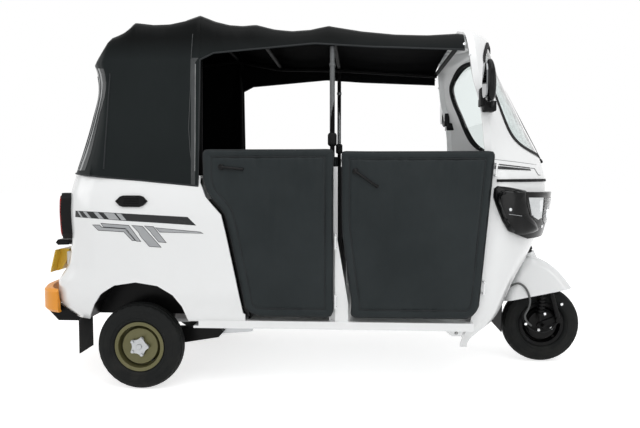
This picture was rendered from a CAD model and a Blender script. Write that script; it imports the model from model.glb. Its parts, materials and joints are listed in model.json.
"""Looks of a three-wheeled auto rickshaw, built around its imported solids."""

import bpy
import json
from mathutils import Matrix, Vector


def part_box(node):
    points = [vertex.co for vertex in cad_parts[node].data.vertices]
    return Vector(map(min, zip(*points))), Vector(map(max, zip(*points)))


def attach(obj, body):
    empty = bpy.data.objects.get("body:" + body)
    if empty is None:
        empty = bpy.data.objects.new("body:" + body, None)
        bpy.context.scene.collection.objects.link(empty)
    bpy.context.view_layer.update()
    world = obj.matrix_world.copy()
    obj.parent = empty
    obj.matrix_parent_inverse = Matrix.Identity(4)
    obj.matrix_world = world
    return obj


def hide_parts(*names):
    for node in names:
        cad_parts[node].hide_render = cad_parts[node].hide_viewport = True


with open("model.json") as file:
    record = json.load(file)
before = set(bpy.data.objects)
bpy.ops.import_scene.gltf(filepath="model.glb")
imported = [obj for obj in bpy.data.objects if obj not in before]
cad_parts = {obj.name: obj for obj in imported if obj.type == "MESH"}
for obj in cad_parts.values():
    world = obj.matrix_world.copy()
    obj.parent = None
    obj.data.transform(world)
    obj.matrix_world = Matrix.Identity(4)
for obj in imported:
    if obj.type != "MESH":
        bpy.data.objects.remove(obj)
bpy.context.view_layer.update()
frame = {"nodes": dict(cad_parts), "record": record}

import json
import logging
import math
from dataclasses import dataclass, field
from enum import Enum
from typing import Iterable, Sequence

import bmesh
import bpy
from mathutils import Matrix, Vector, noise
from mathutils.bvhtree import BVHTree

LOG = logging.getLogger("rickshaw")
# The rear axle line's place and the distance within which points are merged, in metres
AXLE_BACK = -0.8315
WELD = 0.00002
# How far off the vehicle's middle rays towards its skin start, in millimetres
ASIDE = 900.0


def spot(x: float, y: float, z: float) -> Vector:
    """A point measured in millimetres from the rear axle line, in the row frame in metres."""
    return Vector((x / 1000 + AXLE_BACK, y / 1000, z / 1000))


def read_table(table: Sequence[tuple[float, float]], place: float) -> float:
    """Reads a table straight between its rows and level beyond them.

    Args:
        table: Rows of place and value, in order.
        place: Where it is read.

    Returns:
        The value there.
    """
    if place <= table[0][0]:
        return table[0][1]
    if place >= table[-1][0]:
        return table[-1][1]
    above = next(i for i, row in enumerate(table) if row[0] >= place)
    (low, near), (high, far) = table[above - 1], table[above]
    return near + (far - near) * (place - low) / (high - low)


def ease(share: float) -> float:
    """A share that starts and ends gently, kept between 0 and 1."""
    share = max(0.0, min(1.0, share))
    return share * share * (3 - 2 * share)


def blunt(value: float, power: float) -> float:
    """A sine or cosine raised to a power with its sign kept, for rounded squares."""
    return math.copysign(abs(value) ** power, value)


def tree_of(mesh: bpy.types.Mesh) -> BVHTree:
    """The tree that rays are cast on, of a mesh."""
    return BVHTree.FromPolygons([v.co for v in mesh.vertices], [p.vertices for p in mesh.polygons])


class Grain(Enum):
    """Surface textures that a finish can have."""

    ORANGE_PEEL = "orange_peel"
    LEATHERETTE = "leatherette"
    COATED_CLOTH = "coated_cloth"
    MOULDED = "moulded"
    RUBBER = "rubber"
    CAST = "cast"
    BRUSHED = "brushed"


# Shared shader groups

class ShaderGroups:
    """Node groups that several finishes share, each made once."""

    made: dict[str, bpy.types.NodeTree] = {}

    @classmethod
    def start(cls, name: str, inputs: Sequence[tuple], outputs: Sequence[tuple]) -> bpy.types.NodeTree:
        """Makes an empty group with its sockets.

        Args:
            name: The group's name.
            inputs: Rows of socket name, socket kind and default value.
            outputs: Rows of socket name and socket kind.

        Returns:
            The new group.
        """
        tree = bpy.data.node_groups.new(name, "ShaderNodeTree")
        for label, kind, value in inputs:
            socket = tree.interface.new_socket(name=label, in_out="INPUT", socket_type=kind)
            socket.default_value = value
        for label, kind in outputs:
            tree.interface.new_socket(name=label, in_out="OUTPUT", socket_type=kind)
        cls.made[name] = tree
        return tree

    @classmethod
    def tone_drift(cls) -> bpy.types.NodeTree:
        """Slow drift between two colours over the surface.

        Returns:
            The group, with inputs Light, Dark and Scale and output Color.
        """
        if "tone_drift" in cls.made:
            return cls.made["tone_drift"]
        tree = cls.start("tone_drift", [("Light", "NodeSocketColor", (1, 1, 1, 1)),
                                        ("Dark", "NodeSocketColor", (0.5, 0.5, 0.5, 1)),
                                        ("Scale", "NodeSocketFloat", 4.0)], [("Color", "NodeSocketColor")])
        wires = Wires(tree)
        source, sink = wires.add("NodeGroupInput"), wires.add("NodeGroupOutput")
        cloud = wires.texture("ShaderNodeTexNoise", Detail=4.0, Roughness=0.6)
        wires.join(source, "Scale", cloud, "Scale")
        mixed = wires.mix(cloud.outputs["Fac"], source.outputs["Dark"], source.outputs["Light"])
        wires.tree.links.new(mixed, sink.inputs["Color"])
        return tree

    @classmethod
    def settled_dust(cls) -> bpy.types.NodeTree:
        """Dust that gathers low on the vehicle and in patches.

        Returns:
            The group, with inputs Amount and Height and output Mask.
        """
        if "settled_dust" in cls.made:
            return cls.made["settled_dust"]
        inputs = [("Amount", "NodeSocketFloat", 0.2), ("Height", "NodeSocketFloat", 0.5)]
        tree = cls.start("settled_dust", inputs, [("Mask", "NodeSocketFloat")])
        wires = Wires(tree)
        source, sink = wires.add("NodeGroupInput"), wires.add("NodeGroupOutput")
        place = wires.add("ShaderNodeTexCoord")
        split = wires.add("ShaderNodeSeparateXYZ")
        wires.join(place, "Object", split, "Vector")
        low = wires.add("ShaderNodeMapRange")
        low.inputs["To Min"].default_value = 1.0
        low.inputs["To Max"].default_value = 0.15
        wires.join(split, "Z", low, "Value")
        wires.join(source, "Height", low, "From Max")
        cloud = wires.texture("ShaderNodeTexNoise", Scale=14.0, Detail=6.0, Roughness=0.65)
        spread = wires.add("ShaderNodeMapRange")
        spread.inputs["From Min"].default_value = 0.42
        spread.inputs["From Max"].default_value = 0.72
        wires.join(cloud, "Fac", spread, "Value")
        both = wires.maths("MULTIPLY", low.outputs["Result"], spread.outputs["Result"])
        part = wires.maths("MULTIPLY", both, source.outputs["Amount"])
        wires.tree.links.new(part, sink.inputs["Mask"])
        return tree

    @classmethod
    def fine_grain(cls, grain: Grain) -> bpy.types.NodeTree:
        """Fine surface relief of one kind.

        Args:
            grain: The kind of surface.

        Returns:
            The group, with input Scale and output Height.
        """
        name = "grain_" + grain.value
        if name in cls.made:
            return cls.made[name]
        tree = cls.start(name, [("Scale", "NodeSocketFloat", 300.0)], [("Height", "NodeSocketFloat")])
        wires = Wires(tree)
        source, sink = wires.add("NodeGroupInput"), wires.add("NodeGroupOutput")
        if grain in (Grain.LEATHERETTE, Grain.COATED_CLOTH):
            cells = wires.texture("ShaderNodeTexVoronoi", feature="SMOOTH_F1")
            wires.join(source, "Scale", cells, "Scale")
            cloud = wires.texture("ShaderNodeTexNoise", Scale=60.0, Detail=3.0)
            height = wires.maths("ADD", cells.outputs["Distance"], cloud.outputs["Fac"])
        elif grain is Grain.BRUSHED:
            cloud = wires.stretched((1.0, 1.0, 14.0), (0.0, 0.0, 0.0), Detail=2.0)
            wires.join(source, "Scale", cloud, "Scale")
            height = cloud.outputs["Fac"]
        else:
            cloud = wires.texture("ShaderNodeTexNoise", Detail=5.0 if grain is Grain.CAST else 2.0)
            wires.join(source, "Scale", cloud, "Scale")
            height = cloud.outputs["Fac"]
        wires.tree.links.new(height, sink.inputs["Height"])
        return tree

    @classmethod
    def slack_folds(cls) -> bpy.types.NodeTree:
        """Broad soft folds, as in a stretched cover.

        Returns:
            The group, with input Scale and output Height.
        """
        if "slack_folds" in cls.made:
            return cls.made["slack_folds"]
        tree = cls.start("slack_folds", [("Scale", "NodeSocketFloat", 4.0)], [("Height", "NodeSocketFloat")])
        wires = Wires(tree)
        source, sink = wires.add("NodeGroupInput"), wires.add("NodeGroupOutput")
        cloud = wires.stretched((1.0, 0.6, 0.35), (0.0, 0.25, 0.0), Detail=3.0, Distortion=0.8)
        wires.join(source, "Scale", cloud, "Scale")
        wires.join(cloud, "Fac", sink, "Height")
        return tree


class Wires:
    """Adds and joins nodes in one node tree."""

    def __init__(self, tree: bpy.types.NodeTree) -> None:
        """Keeps the tree that nodes are added to."""
        self.tree = tree

    def add(self, kind: str, **values) -> bpy.types.Node:
        """Adds a node.

        Args:
            kind: The node's type.
            **values: Settings of the node, or plain values of its input sockets.

        Returns:
            The new node.
        """
        item = self.tree.nodes.new(kind)
        for name, value in values.items():
            if hasattr(item, name):
                setattr(item, name, value)
            else:
                item.inputs[name.replace("_", " ")].default_value = value
        return item

    def join(self, start: bpy.types.Node, out: str, end: bpy.types.Node, into: str) -> None:
        """Links an output socket to an input socket by their names."""
        self.tree.links.new(start.outputs[out], end.inputs[into])

    def texture(self, kind: str, **values) -> bpy.types.Node:
        """Adds a texture that follows the object's own coordinates."""
        item = self.add(kind, **values)
        self.join(self.add("ShaderNodeTexCoord"), "Object", item, "Vector")
        return item

    def stretched(self, scale: tuple, turn: tuple, **values) -> bpy.types.Node:
        """Adds a noise texture drawn out along the object's own axes.

        Args:
            scale: How much closer it lies along each axis.
            turn: Its turn about each axis.
            **values: Settings of the noise.

        Returns:
            The noise node.
        """
        stretch = self.texture("ShaderNodeMapping", Scale=scale, Rotation=turn)
        cloud = self.add("ShaderNodeTexNoise", **values)
        self.join(stretch, "Vector", cloud, "Vector")
        return cloud

    def mix(self, factor, first, second) -> bpy.types.NodeSocket:
        """Mixes two colours.

        Args:
            factor: The socket that says how much of the second.
            first: A socket.
            second: A socket or a plain colour.

        Returns:
            The mixed colour's socket.
        """
        item = self.add("ShaderNodeMix", data_type="RGBA")
        self.tree.links.new(factor, item.inputs["Factor"])
        self.tree.links.new(first, item.inputs[6])
        if isinstance(second, tuple):
            item.inputs[7].default_value = second
        else:
            self.tree.links.new(second, item.inputs[7])
        return item.outputs[2]

    def uneven(self, surface: bpy.types.Node, low: float, high: float, **values) -> None:
        """Lets a surface's roughness drift between two values.

        Args:
            surface: The surface's shader.
            low: The least roughness.
            high: The greatest roughness.
            **values: Settings of the noise that it drifts by.
        """
        smear = self.texture("ShaderNodeTexNoise", **values)
        band = self.add("ShaderNodeMapRange", To_Min=low, To_Max=high)
        self.join(smear, "Fac", band, "Value")
        self.join(band, "Result", surface, "Roughness")

    def maths(self, operation: str, first, second) -> bpy.types.NodeSocket:
        """A Math node on two values or sockets.

        Args:
            operation: The operation's name.
            first: A number or an output socket.
            second: A number or an output socket.

        Returns:
            The node's output socket.
        """
        item = self.tree.nodes.new("ShaderNodeMath")
        item.operation = operation
        for index, value in enumerate((first, second)):
            if isinstance(value, (int, float)):
                item.inputs[index].default_value = value
            else:
                self.tree.links.new(value, item.inputs[index])
        return item.outputs[0]

    def group(self, tree: bpy.types.NodeTree, **values) -> bpy.types.Node:
        """Places a shared group with its own values."""
        item = self.tree.nodes.new("ShaderNodeGroup")
        item.node_tree = tree
        for name, value in values.items():
            item.inputs[name].default_value = value
        return item


# Finishes

def start_material(name: str) -> tuple[bpy.types.Material, Wires, bpy.types.Node]:
    """Makes an empty material: itself, its wires and its surface shader."""
    made = bpy.data.materials.new(name)
    made.use_nodes = True
    return made, Wires(made.node_tree), made.node_tree.nodes["Principled BSDF"]


@dataclass(frozen=True)
class Finish:
    """An opaque finish and how it is made up."""

    name: str
    light: tuple[float, float, float]
    dark: tuple[float, float, float]
    roughness: float
    grain: Grain
    grain_scale: float
    relief: float
    spread: float = 0.08
    metallic: float = 0.0
    coat: float = 0.0
    coat_roughness: float = 0.06
    shine: float = 0.5
    dust: float = 0.0
    dust_height: float = 0.5
    folds: float = 0.0
    drift: float = 3.0
    roof_shade: float = 0.0
    roof_from: float = 1.53
    roof_to: float = 1.63
    roof_colour: tuple = (0.0012, 0.0014, 0.0014, 1)
    dust_colour: tuple = (0.30, 0.27, 0.22, 1)

    def material(self) -> bpy.types.Material:
        """The finish as a material, made on first use.

        Returns:
            The material of this finish.
        """
        found = bpy.data.materials.get(self.name + "_finish")
        if found:
            return found
        made, wires, surface = start_material(self.name + "_finish")
        surface.inputs["Metallic"].default_value = self.metallic
        surface.inputs["Coat Weight"].default_value = self.coat
        surface.inputs["Coat Roughness"].default_value = self.coat_roughness
        surface.inputs["Specular IOR Level"].default_value = self.shine
        tone = wires.group(ShaderGroups.tone_drift(), Light=(*self.light, 1), Dark=(*self.dark, 1),
                           Scale=self.drift)
        colour = tone.outputs["Color"]
        if self.roof_shade:
            split = wires.texture("ShaderNodeSeparateXYZ")
            high = wires.add("ShaderNodeMapRange", From_Min=self.roof_from, From_Max=self.roof_to,
                             To_Max=self.roof_shade)
            wires.join(split, "Z", high, "Value")
            colour = wires.mix(high.outputs["Result"], colour, self.roof_colour)
        if self.dust:
            dust = wires.group(ShaderGroups.settled_dust(), Amount=self.dust, Height=self.dust_height)
            colour = wires.mix(dust.outputs["Mask"], colour, self.dust_colour)
        wires.tree.links.new(colour, surface.inputs["Base Color"])
        wires.uneven(surface, max(0.02, self.roughness - self.spread), self.roughness + self.spread,
                     Scale=9.0, Detail=5.0, Roughness=0.6)
        grain = wires.group(ShaderGroups.fine_grain(self.grain), Scale=self.grain_scale)
        bump = wires.add("ShaderNodeBump", Strength=0.6, Distance=self.relief)
        wires.join(grain, "Height", bump, "Height")
        if self.folds:
            folds = wires.group(ShaderGroups.slack_folds(), Scale=5.0)
            broad = wires.add("ShaderNodeBump", Strength=0.8, Distance=self.folds)
            wires.join(folds, "Height", broad, "Height")
            wires.join(broad, "Normal", bump, "Normal")
        wires.join(bump, "Normal", surface, "Normal")
        return made


@dataclass(frozen=True)
class ClearFinish:
    """A clear or tinted finish that light goes through."""

    name: str
    tint: tuple[float, float, float]
    roughness: float
    ribs: float = 0.0
    bending: float = 1.45
    edge_share: float = 0.94

    def material(self) -> bpy.types.Material:
        """The finish as a material, made on first use.

        Returns:
            The material of this finish.
        """
        found = bpy.data.materials.get(self.name + "_finish")
        if found:
            return found
        made, wires, surface = start_material(self.name + "_finish")
        surface.inputs["Transmission Weight"].default_value = 1.0
        surface.inputs["IOR"].default_value = self.bending
        tone = wires.group(ShaderGroups.tone_drift(), Light=(*self.tint, 1),
                           Dark=tuple(value * self.edge_share for value in self.tint) + (1,), Scale=2.0)
        wires.join(tone, "Color", surface, "Base Color")
        wires.uneven(surface, self.roughness, self.roughness + 0.03, Scale=6.0, Detail=3.0)
        if self.ribs:
            wave = wires.texture("ShaderNodeTexWave", bands_direction="Y", Scale=self.ribs)
            bump = wires.add("ShaderNodeBump", Strength=0.5, Distance=0.001)
            wires.join(wave, "Fac", bump, "Height")
            wires.join(bump, "Normal", surface, "Normal")
        return made


FINISHES = (
    Finish("white_paint", (0.83, 0.84, 0.84), (0.79, 0.80, 0.805), 0.20, Grain.ORANGE_PEEL, 260.0, 0.00008,
           coat=0.4, dust=0.06, dust_height=0.6, spread=0.05),
    Finish("wheel_paint", (0.150, 0.140, 0.058), (0.085, 0.080, 0.032), 0.34, Grain.ORANGE_PEEL, 400.0,
           0.00006, metallic=0.35, shine=0.4, dust=0.10, dust_height=0.45),
    Finish("orange_plastic", (0.83, 0.34, 0.03), (0.74, 0.27, 0.02), 0.38, Grain.MOULDED, 700.0, 0.0001,
           shine=0.3, dust=0.08, dust_height=0.6),
    Finish("black_vinyl", (0.031, 0.037, 0.039), (0.011, 0.0145, 0.0155), 0.36, Grain.LEATHERETTE, 520.0,
           0.00006, shine=0.09, folds=0.006, drift=2.6),
    Finish("canopy_vinyl", (0.0155, 0.019, 0.0195), (0.0085, 0.0108, 0.0112), 0.36, Grain.COATED_CLOTH,
           700.0, 0.00006, shine=0.07, folds=0.008, drift=2.0, roof_shade=0.85),
    Finish("cloth_lining", (0.0034, 0.0036, 0.0038), (0.0022, 0.0024, 0.0026), 0.80, Grain.COATED_CLOTH,
           500.0, 0.0001, shine=0.01),
    Finish("frame_black", (0.0045, 0.0046, 0.0048), (0.003, 0.003, 0.0032), 0.55, Grain.ORANGE_PEEL, 400.0,
           0.00006, shine=0.04),
    Finish("worn_gloss", (0.50, 0.51, 0.51), (0.10, 0.105, 0.11), 0.24, Grain.COATED_CLOTH, 700.0, 0.00006,
           shine=0.4, drift=16.0),
    Finish("half_gloss", (0.075, 0.079, 0.080), (0.028, 0.031, 0.032), 0.28, Grain.COATED_CLOTH, 700.0,
           0.00006, shine=0.2, folds=0.004, drift=9.0),
    Finish("mirror_silver", (0.22, 0.225, 0.23), (0.15, 0.155, 0.16), 0.06, Grain.ORANGE_PEEL, 60.0,
           0.00002, metallic=1.0, spread=0.02),
    Finish("lamp_face", (0.66, 0.68, 0.69), (0.46, 0.48, 0.49), 0.14, Grain.BRUSHED, 90.0, 0.0006,
           metallic=0.35, coat=1.0, spread=0.04, drift=22.0),
    Finish("hose_grey", (0.115, 0.118, 0.118), (0.060, 0.062, 0.062), 0.30, Grain.RUBBER, 500.0, 0.00006,
           shine=0.35),
    Finish("post_grey", (0.13, 0.135, 0.138), (0.085, 0.088, 0.090), 0.32, Grain.BRUSHED, 260.0, 0.00008,
           metallic=0.4, shine=0.3),
    Finish("black_plastic", (0.005, 0.0052, 0.0055), (0.003, 0.0032, 0.0035), 0.18, Grain.MOULDED, 500.0,
           0.00004, shine=0.16, spread=0.04),
    Finish("matte_black", (0.013, 0.013, 0.0135), (0.008, 0.008, 0.0085), 0.50, Grain.MOULDED, 900.0,
           0.0001, shine=0.08, dust=0.03, dust_height=0.8),
    Finish("black_steel", (0.0065, 0.0066, 0.007), (0.0035, 0.0036, 0.004), 0.30, Grain.ORANGE_PEEL, 350.0,
           0.00008, shine=0.10, dust=0.02, dust_height=0.5),
    Finish("bare_steel", (0.50, 0.51, 0.52), (0.36, 0.37, 0.38), 0.34, Grain.BRUSHED, 220.0, 0.0001,
           metallic=0.9, dust=0.10),
    Finish("cast_alloy", (0.30, 0.30, 0.30), (0.20, 0.20, 0.21), 0.50, Grain.CAST, 240.0, 0.0004,
           metallic=0.7, dust=0.25),
    Finish("black_rubber", (0.013, 0.013, 0.0135), (0.009, 0.009, 0.0095), 0.60, Grain.RUBBER, 600.0,
           0.0001, shine=0.08, dust=0.04, dust_height=0.5),
    Finish("tyre_rubber", (0.0155, 0.0165, 0.0165), (0.009, 0.0098, 0.0098), 0.56, Grain.RUBBER, 450.0,
           0.00012, shine=0.08, dust=0.04, dust_height=0.35, drift=9.0),
    Finish("yellow_plate", (0.76, 0.50, 0.045), (0.68, 0.43, 0.035), 0.40, Grain.ORANGE_PEEL, 500.0, 0.0001,
           coat=0.3),
    Finish("seam_grey", (0.20, 0.205, 0.21), (0.14, 0.145, 0.15), 0.50, Grain.RUBBER, 500.0, 0.00006,
           shine=0.2),
    Finish("silver_print", (0.40, 0.41, 0.42), (0.26, 0.27, 0.28), 0.40, Grain.BRUSHED, 500.0, 0.00004,
           metallic=0.2, coat=0.3, drift=14.0),
    Finish("dark_print", (0.022, 0.023, 0.025), (0.014, 0.015, 0.016), 0.25, Grain.ORANGE_PEEL, 500.0,
           0.00003, shine=0.3),
    Finish("chrome", (0.78, 0.79, 0.80), (0.70, 0.71, 0.72), 0.10, Grain.ORANGE_PEEL, 300.0, 0.00004,
           metallic=1.0, spread=0.04),
    Finish("thread", (0.030, 0.033, 0.035), (0.018, 0.020, 0.021), 0.50, Grain.RUBBER, 1500.0, 0.0001,
           shine=0.12),
)
CLEAR_FINISHES = (
    ClearFinish("screen_glass", (0.80, 0.86, 0.85), 0.0),
    ClearFinish("lamp_glass", (0.92, 0.94, 0.96), 0.02, ribs=28.0),
    ClearFinish("red_lens", (0.62, 0.015, 0.015), 0.08, ribs=22.0),
    ClearFinish("clear_sheet", (0.70, 0.72, 0.73), 0.12),
)
BY_NAME = {finish.name: finish for finish in FINISHES + CLEAR_FINISHES}


def finish_of(name: str) -> bpy.types.Material:
    """The material of a finish by its name."""
    return BY_NAME[name].material()


# Hand tools

class Bench:
    """Hand tools that every sub-assembly works with."""

    @staticmethod
    def clear() -> None:
        """Deselects every object."""
        if bpy.context.object and bpy.context.object.mode != "OBJECT":
            bpy.ops.object.mode_set(mode="OBJECT")
        bpy.ops.object.select_all(action="DESELECT")

    @classmethod
    def hold(cls, item: bpy.types.Object) -> None:
        """Selects one object alone and makes it active."""
        cls.clear()
        item.select_set(True)
        bpy.context.view_layer.objects.active = item

    @classmethod
    def settle(cls, item: bpy.types.Object) -> None:
        """Puts an object's place and turn into its mesh."""
        cls.hold(item)
        bpy.ops.object.transform_apply(location=True, rotation=True, scale=True)

    @classmethod
    def apply(cls, item: bpy.types.Object) -> None:
        """Applies all modifiers of an object."""
        cls.hold(item)
        for name in [modifier.name for modifier in item.modifiers]:
            bpy.ops.object.modifier_apply(modifier=name)

    @classmethod
    def outward(cls, item: bpy.types.Object) -> None:
        """Merges doubles and turns all faces outward."""
        cls.hold(item)
        bpy.ops.object.mode_set(mode="EDIT")
        bpy.ops.mesh.select_all(action="SELECT")
        bpy.ops.mesh.remove_doubles(threshold=WELD)
        bpy.ops.mesh.normals_make_consistent(inside=False)
        bpy.ops.object.mode_set(mode="OBJECT")

    @classmethod
    def keep(cls, item: bpy.types.Object, name: str, body: str, finish: str, stands_for: Iterable[str] = (),
             smooth: float = 40.0) -> bpy.types.Object:
        """Names, shades, dresses and mounts a finished piece.

        Args:
            item: The piece, in place.
            name: Its plain name.
            body: The body that it rides on.
            finish: The name of its finish.
            stands_for: Nodes that it replaces.
            smooth: Largest angle in degrees that is shaded smooth.

        Returns:
            The same piece.
        """
        cls.settle(item)
        item.name = name
        item.data.name = name
        if item.type == "MESH":
            bpy.ops.object.shade_smooth_by_angle(angle=math.radians(smooth))
        if not item.data.materials:
            item.data.materials.append(finish_of(finish))
        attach(item, body)
        if stands_for:
            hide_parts(*stands_for)
        LOG.info("made %s", name)
        return item

    @classmethod
    def from_faces(cls, name: str, points: Sequence, faces: Sequence) -> bpy.types.Object:
        """A mesh object from points and faces."""
        mesh = bpy.data.meshes.new(name)
        mesh.from_pydata([tuple(point) for point in points], [], faces)
        mesh.update()
        item = bpy.data.objects.new(name, mesh)
        bpy.context.collection.objects.link(item)
        return item

    @classmethod
    def from_mesh(cls, name: str, mesh: bmesh.types.BMesh) -> bpy.types.Object:
        """A mesh object from an edit mesh, which is freed."""
        data = bpy.data.meshes.new(name)
        mesh.to_mesh(data)
        mesh.free()
        item = bpy.data.objects.new(name, data)
        bpy.context.collection.objects.link(item)
        return item

    @staticmethod
    def grid(rows: int, columns: int) -> list[tuple[int, int, int, int]]:
        """The faces between rows of points."""
        starts = [row * columns + column for row in range(rows - 1) for column in range(columns - 1)]
        return [(start, start + 1, start + columns + 1, start + columns) for start in starts]

    @classmethod
    def prism(cls, name: str, outline: Sequence[tuple[float, float]], first: float,
              second: float) -> bpy.types.Object:
        """A flat closed shape between two upright planes along the vehicle.

        Args:
            name: The object's name.
            outline: Its corners along and up, in millimetres.
            first: Where the first plane lies across the vehicle, in millimetres.
            second: Where the second plane lies.

        Returns:
            The new object.
        """
        count = len(outline)
        points = [spot(x, y, z) for y in (first, second) for x, z in outline]
        faces = [tuple(range(count)), tuple(range(2 * count - 1, count - 1, -1))]
        for index in range(count):
            after = (index + 1) % count
            faces.append((index, index + count, after + count, after))
        item = cls.from_faces(name, points, faces)
        cls.outward(item)
        return item

    @classmethod
    def wall(cls, item: bpy.types.Object, thickness: float, offset: float = -1.0, lining: int = 0) -> None:
        """Gives a sheet its thickness.

        Args:
            item: The sheet.
            thickness: Its thickness.
            offset: -1 to grow inward, 1 outward, 0 both ways.
            lining: How many materials further on the inner side takes its own.
        """
        wall = item.modifiers.new("wall", "SOLIDIFY")
        wall.thickness = thickness
        wall.offset = offset
        wall.material_offset = lining
        cls.apply(item)

    @classmethod
    def keep_pair(cls, item: bpy.types.Object, name: str, body: str, finish: str,
                  stands_for: Iterable[str] = (), smooth: float = 40.0) -> list[bpy.types.Object]:
        """Keeps a right-hand piece and its mirror image on one body.

        Args:
            item: The right-hand piece, in place.
            name: Their plain name, to which the side is added.
            body: The body that they ride on.
            finish: The name of their finish.
            stands_for: Nodes that they replace.
            smooth: Largest angle in degrees that is shaded smooth.

        Returns:
            The right and the left piece.
        """
        left = cls.twin(item)
        return [cls.keep(piece, name + side, body, finish, stands_for, smooth)
                for piece, side in ((item, "_right"), (left, "_left"))]

    @classmethod
    def cord_mesh(cls, points: Sequence[Vector], radius: float, closed: bool = False, sides: int = 3,
                  smooth: bool = True) -> bpy.types.Object:
        """A round bead, bar or piping along points, as a mesh.

        Args:
            points: The line that it follows.
            radius: Its radius.
            closed: Whether it joins up with itself.
            sides: Resolution of its round section.
            smooth: Whether its line is a smooth curve.

        Returns:
            The new mesh object.
        """
        data = bpy.data.curves.new("bead", "CURVE")
        data.dimensions = "3D"
        line = data.splines.new("NURBS" if smooth else "POLY")
        line.points.add(len(points) - 1)
        for item, point in zip(line.points, points):
            item.co = (*point, 1.0)
        line.use_cyclic_u = closed
        if smooth:
            line.order_u = 3
            line.use_endpoint_u = not closed
            line.resolution_u = 3
        data.bevel_depth = radius
        data.bevel_resolution = sides
        data.use_fill_caps = not closed
        item = bpy.data.objects.new("bead", data)
        bpy.context.collection.objects.link(item)
        cls.hold(item)
        bpy.ops.object.convert(target="MESH")
        return bpy.context.object

    @classmethod
    def disc(cls, centre: Vector, axis: Vector, radius: float, depth: float, rim: float = 0.0,
             sides: int = 32) -> bpy.types.Object:
        """A round boss or cap with a rounded rim.

        Args:
            centre: The middle of its depth.
            axis: The way that it faces.
            radius: Its radius.
            depth: Its depth along the axis.
            rim: How far its edges are rounded.
            sides: Number of sides round it.

        Returns:
            The new object.
        """
        cls.clear()
        bpy.ops.mesh.primitive_cylinder_add(vertices=sides, radius=radius, depth=depth)
        item = bpy.context.object
        if rim:
            bpy.ops.object.mode_set(mode="EDIT")
            bpy.ops.mesh.select_all(action="DESELECT")
            bpy.ops.object.mode_set(mode="OBJECT")
            for edge in item.data.edges:
                ends = [item.data.vertices[index].co.z for index in edge.vertices]
                edge.select = abs(ends[0] - ends[1]) < 1e-6
            bpy.ops.object.mode_set(mode="EDIT")
            bpy.ops.mesh.bevel(offset=rim, segments=3, affect="EDGES")
            bpy.ops.object.mode_set(mode="OBJECT")
        turn = Vector((0, 0, 1)).rotation_difference(axis.normalized()).to_matrix().to_4x4()
        item.data.transform(Matrix.Translation(centre) @ turn)
        return item

    @classmethod
    def slab(cls, low: Vector, high: Vector, rim: float) -> bpy.types.Object:
        """A rectangular block with rounded edges between two corners."""
        cls.clear()
        bpy.ops.mesh.primitive_cube_add(size=1.0)
        item = bpy.context.object
        item.data.transform(Matrix.Translation((low + high) / 2) @ Matrix.Diagonal((*(high - low), 1.0)))
        bpy.ops.object.mode_set(mode="EDIT")
        bpy.ops.mesh.select_all(action="SELECT")
        bpy.ops.mesh.bevel(offset=rim, segments=2, affect="EDGES")
        bpy.ops.object.mode_set(mode="OBJECT")
        return item

    @classmethod
    def twin(cls, item: bpy.types.Object) -> bpy.types.Object:
        """The mirror image of a mesh over the centre plane, with its own mesh and outward faces."""
        copy = bpy.data.objects.new(item.name + "_twin", item.data.copy())
        bpy.context.collection.objects.link(copy)
        copy.data.transform(Matrix.Diagonal((1.0, -1.0, 1.0, 1.0)))
        copy.data.flip_normals()
        return copy

    @classmethod
    def join(cls, items: Sequence[bpy.types.Object]) -> bpy.types.Object:
        """Joins meshes into the first of them."""
        cls.clear()
        for item in items:
            item.select_set(True)
        bpy.context.view_layer.objects.active = items[0]
        bpy.ops.object.join()
        return items[0]


class Skin:
    """The outer skin of one or more nodes, to find places on it."""

    def __init__(self, *nodes: str) -> None:
        """Reads the nodes' meshes.

        Args:
            *nodes: Names of the nodes.
        """
        self.trees = []
        for name in nodes:
            self.trees.append(tree_of(frame["nodes"][name].data))

    @classmethod
    def of(cls, *items: bpy.types.Object) -> "Skin":
        """The skin of finished pieces.

        Args:
            *items: The pieces.

        Returns:
            Their skin.
        """
        made = cls()
        made.trees = [tree_of(item.data) for item in items]
        return made

    def first(self, start: Vector, way: Vector) -> tuple[Vector, Vector] | None:
        """The nearest hit of a ray: its place and the skin's normal there."""
        best = None
        for tree in self.trees:
            place, normal, _, distance = tree.ray_cast(start, way)
            if place is not None and (best is None or distance < best[2]):
                best = (place, normal, distance)
        return None if best is None else best[:2]

    def last(self, start: Vector, way: Vector, reach: float) -> Vector | None:
        """The farthest hit of a ray within a reach, found from outside."""
        hit = self.first(start + way * reach, -way)
        if hit is None or (hit[0] - start).dot(way) < 0:
            return None
        return hit[0]


# Stage

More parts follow.
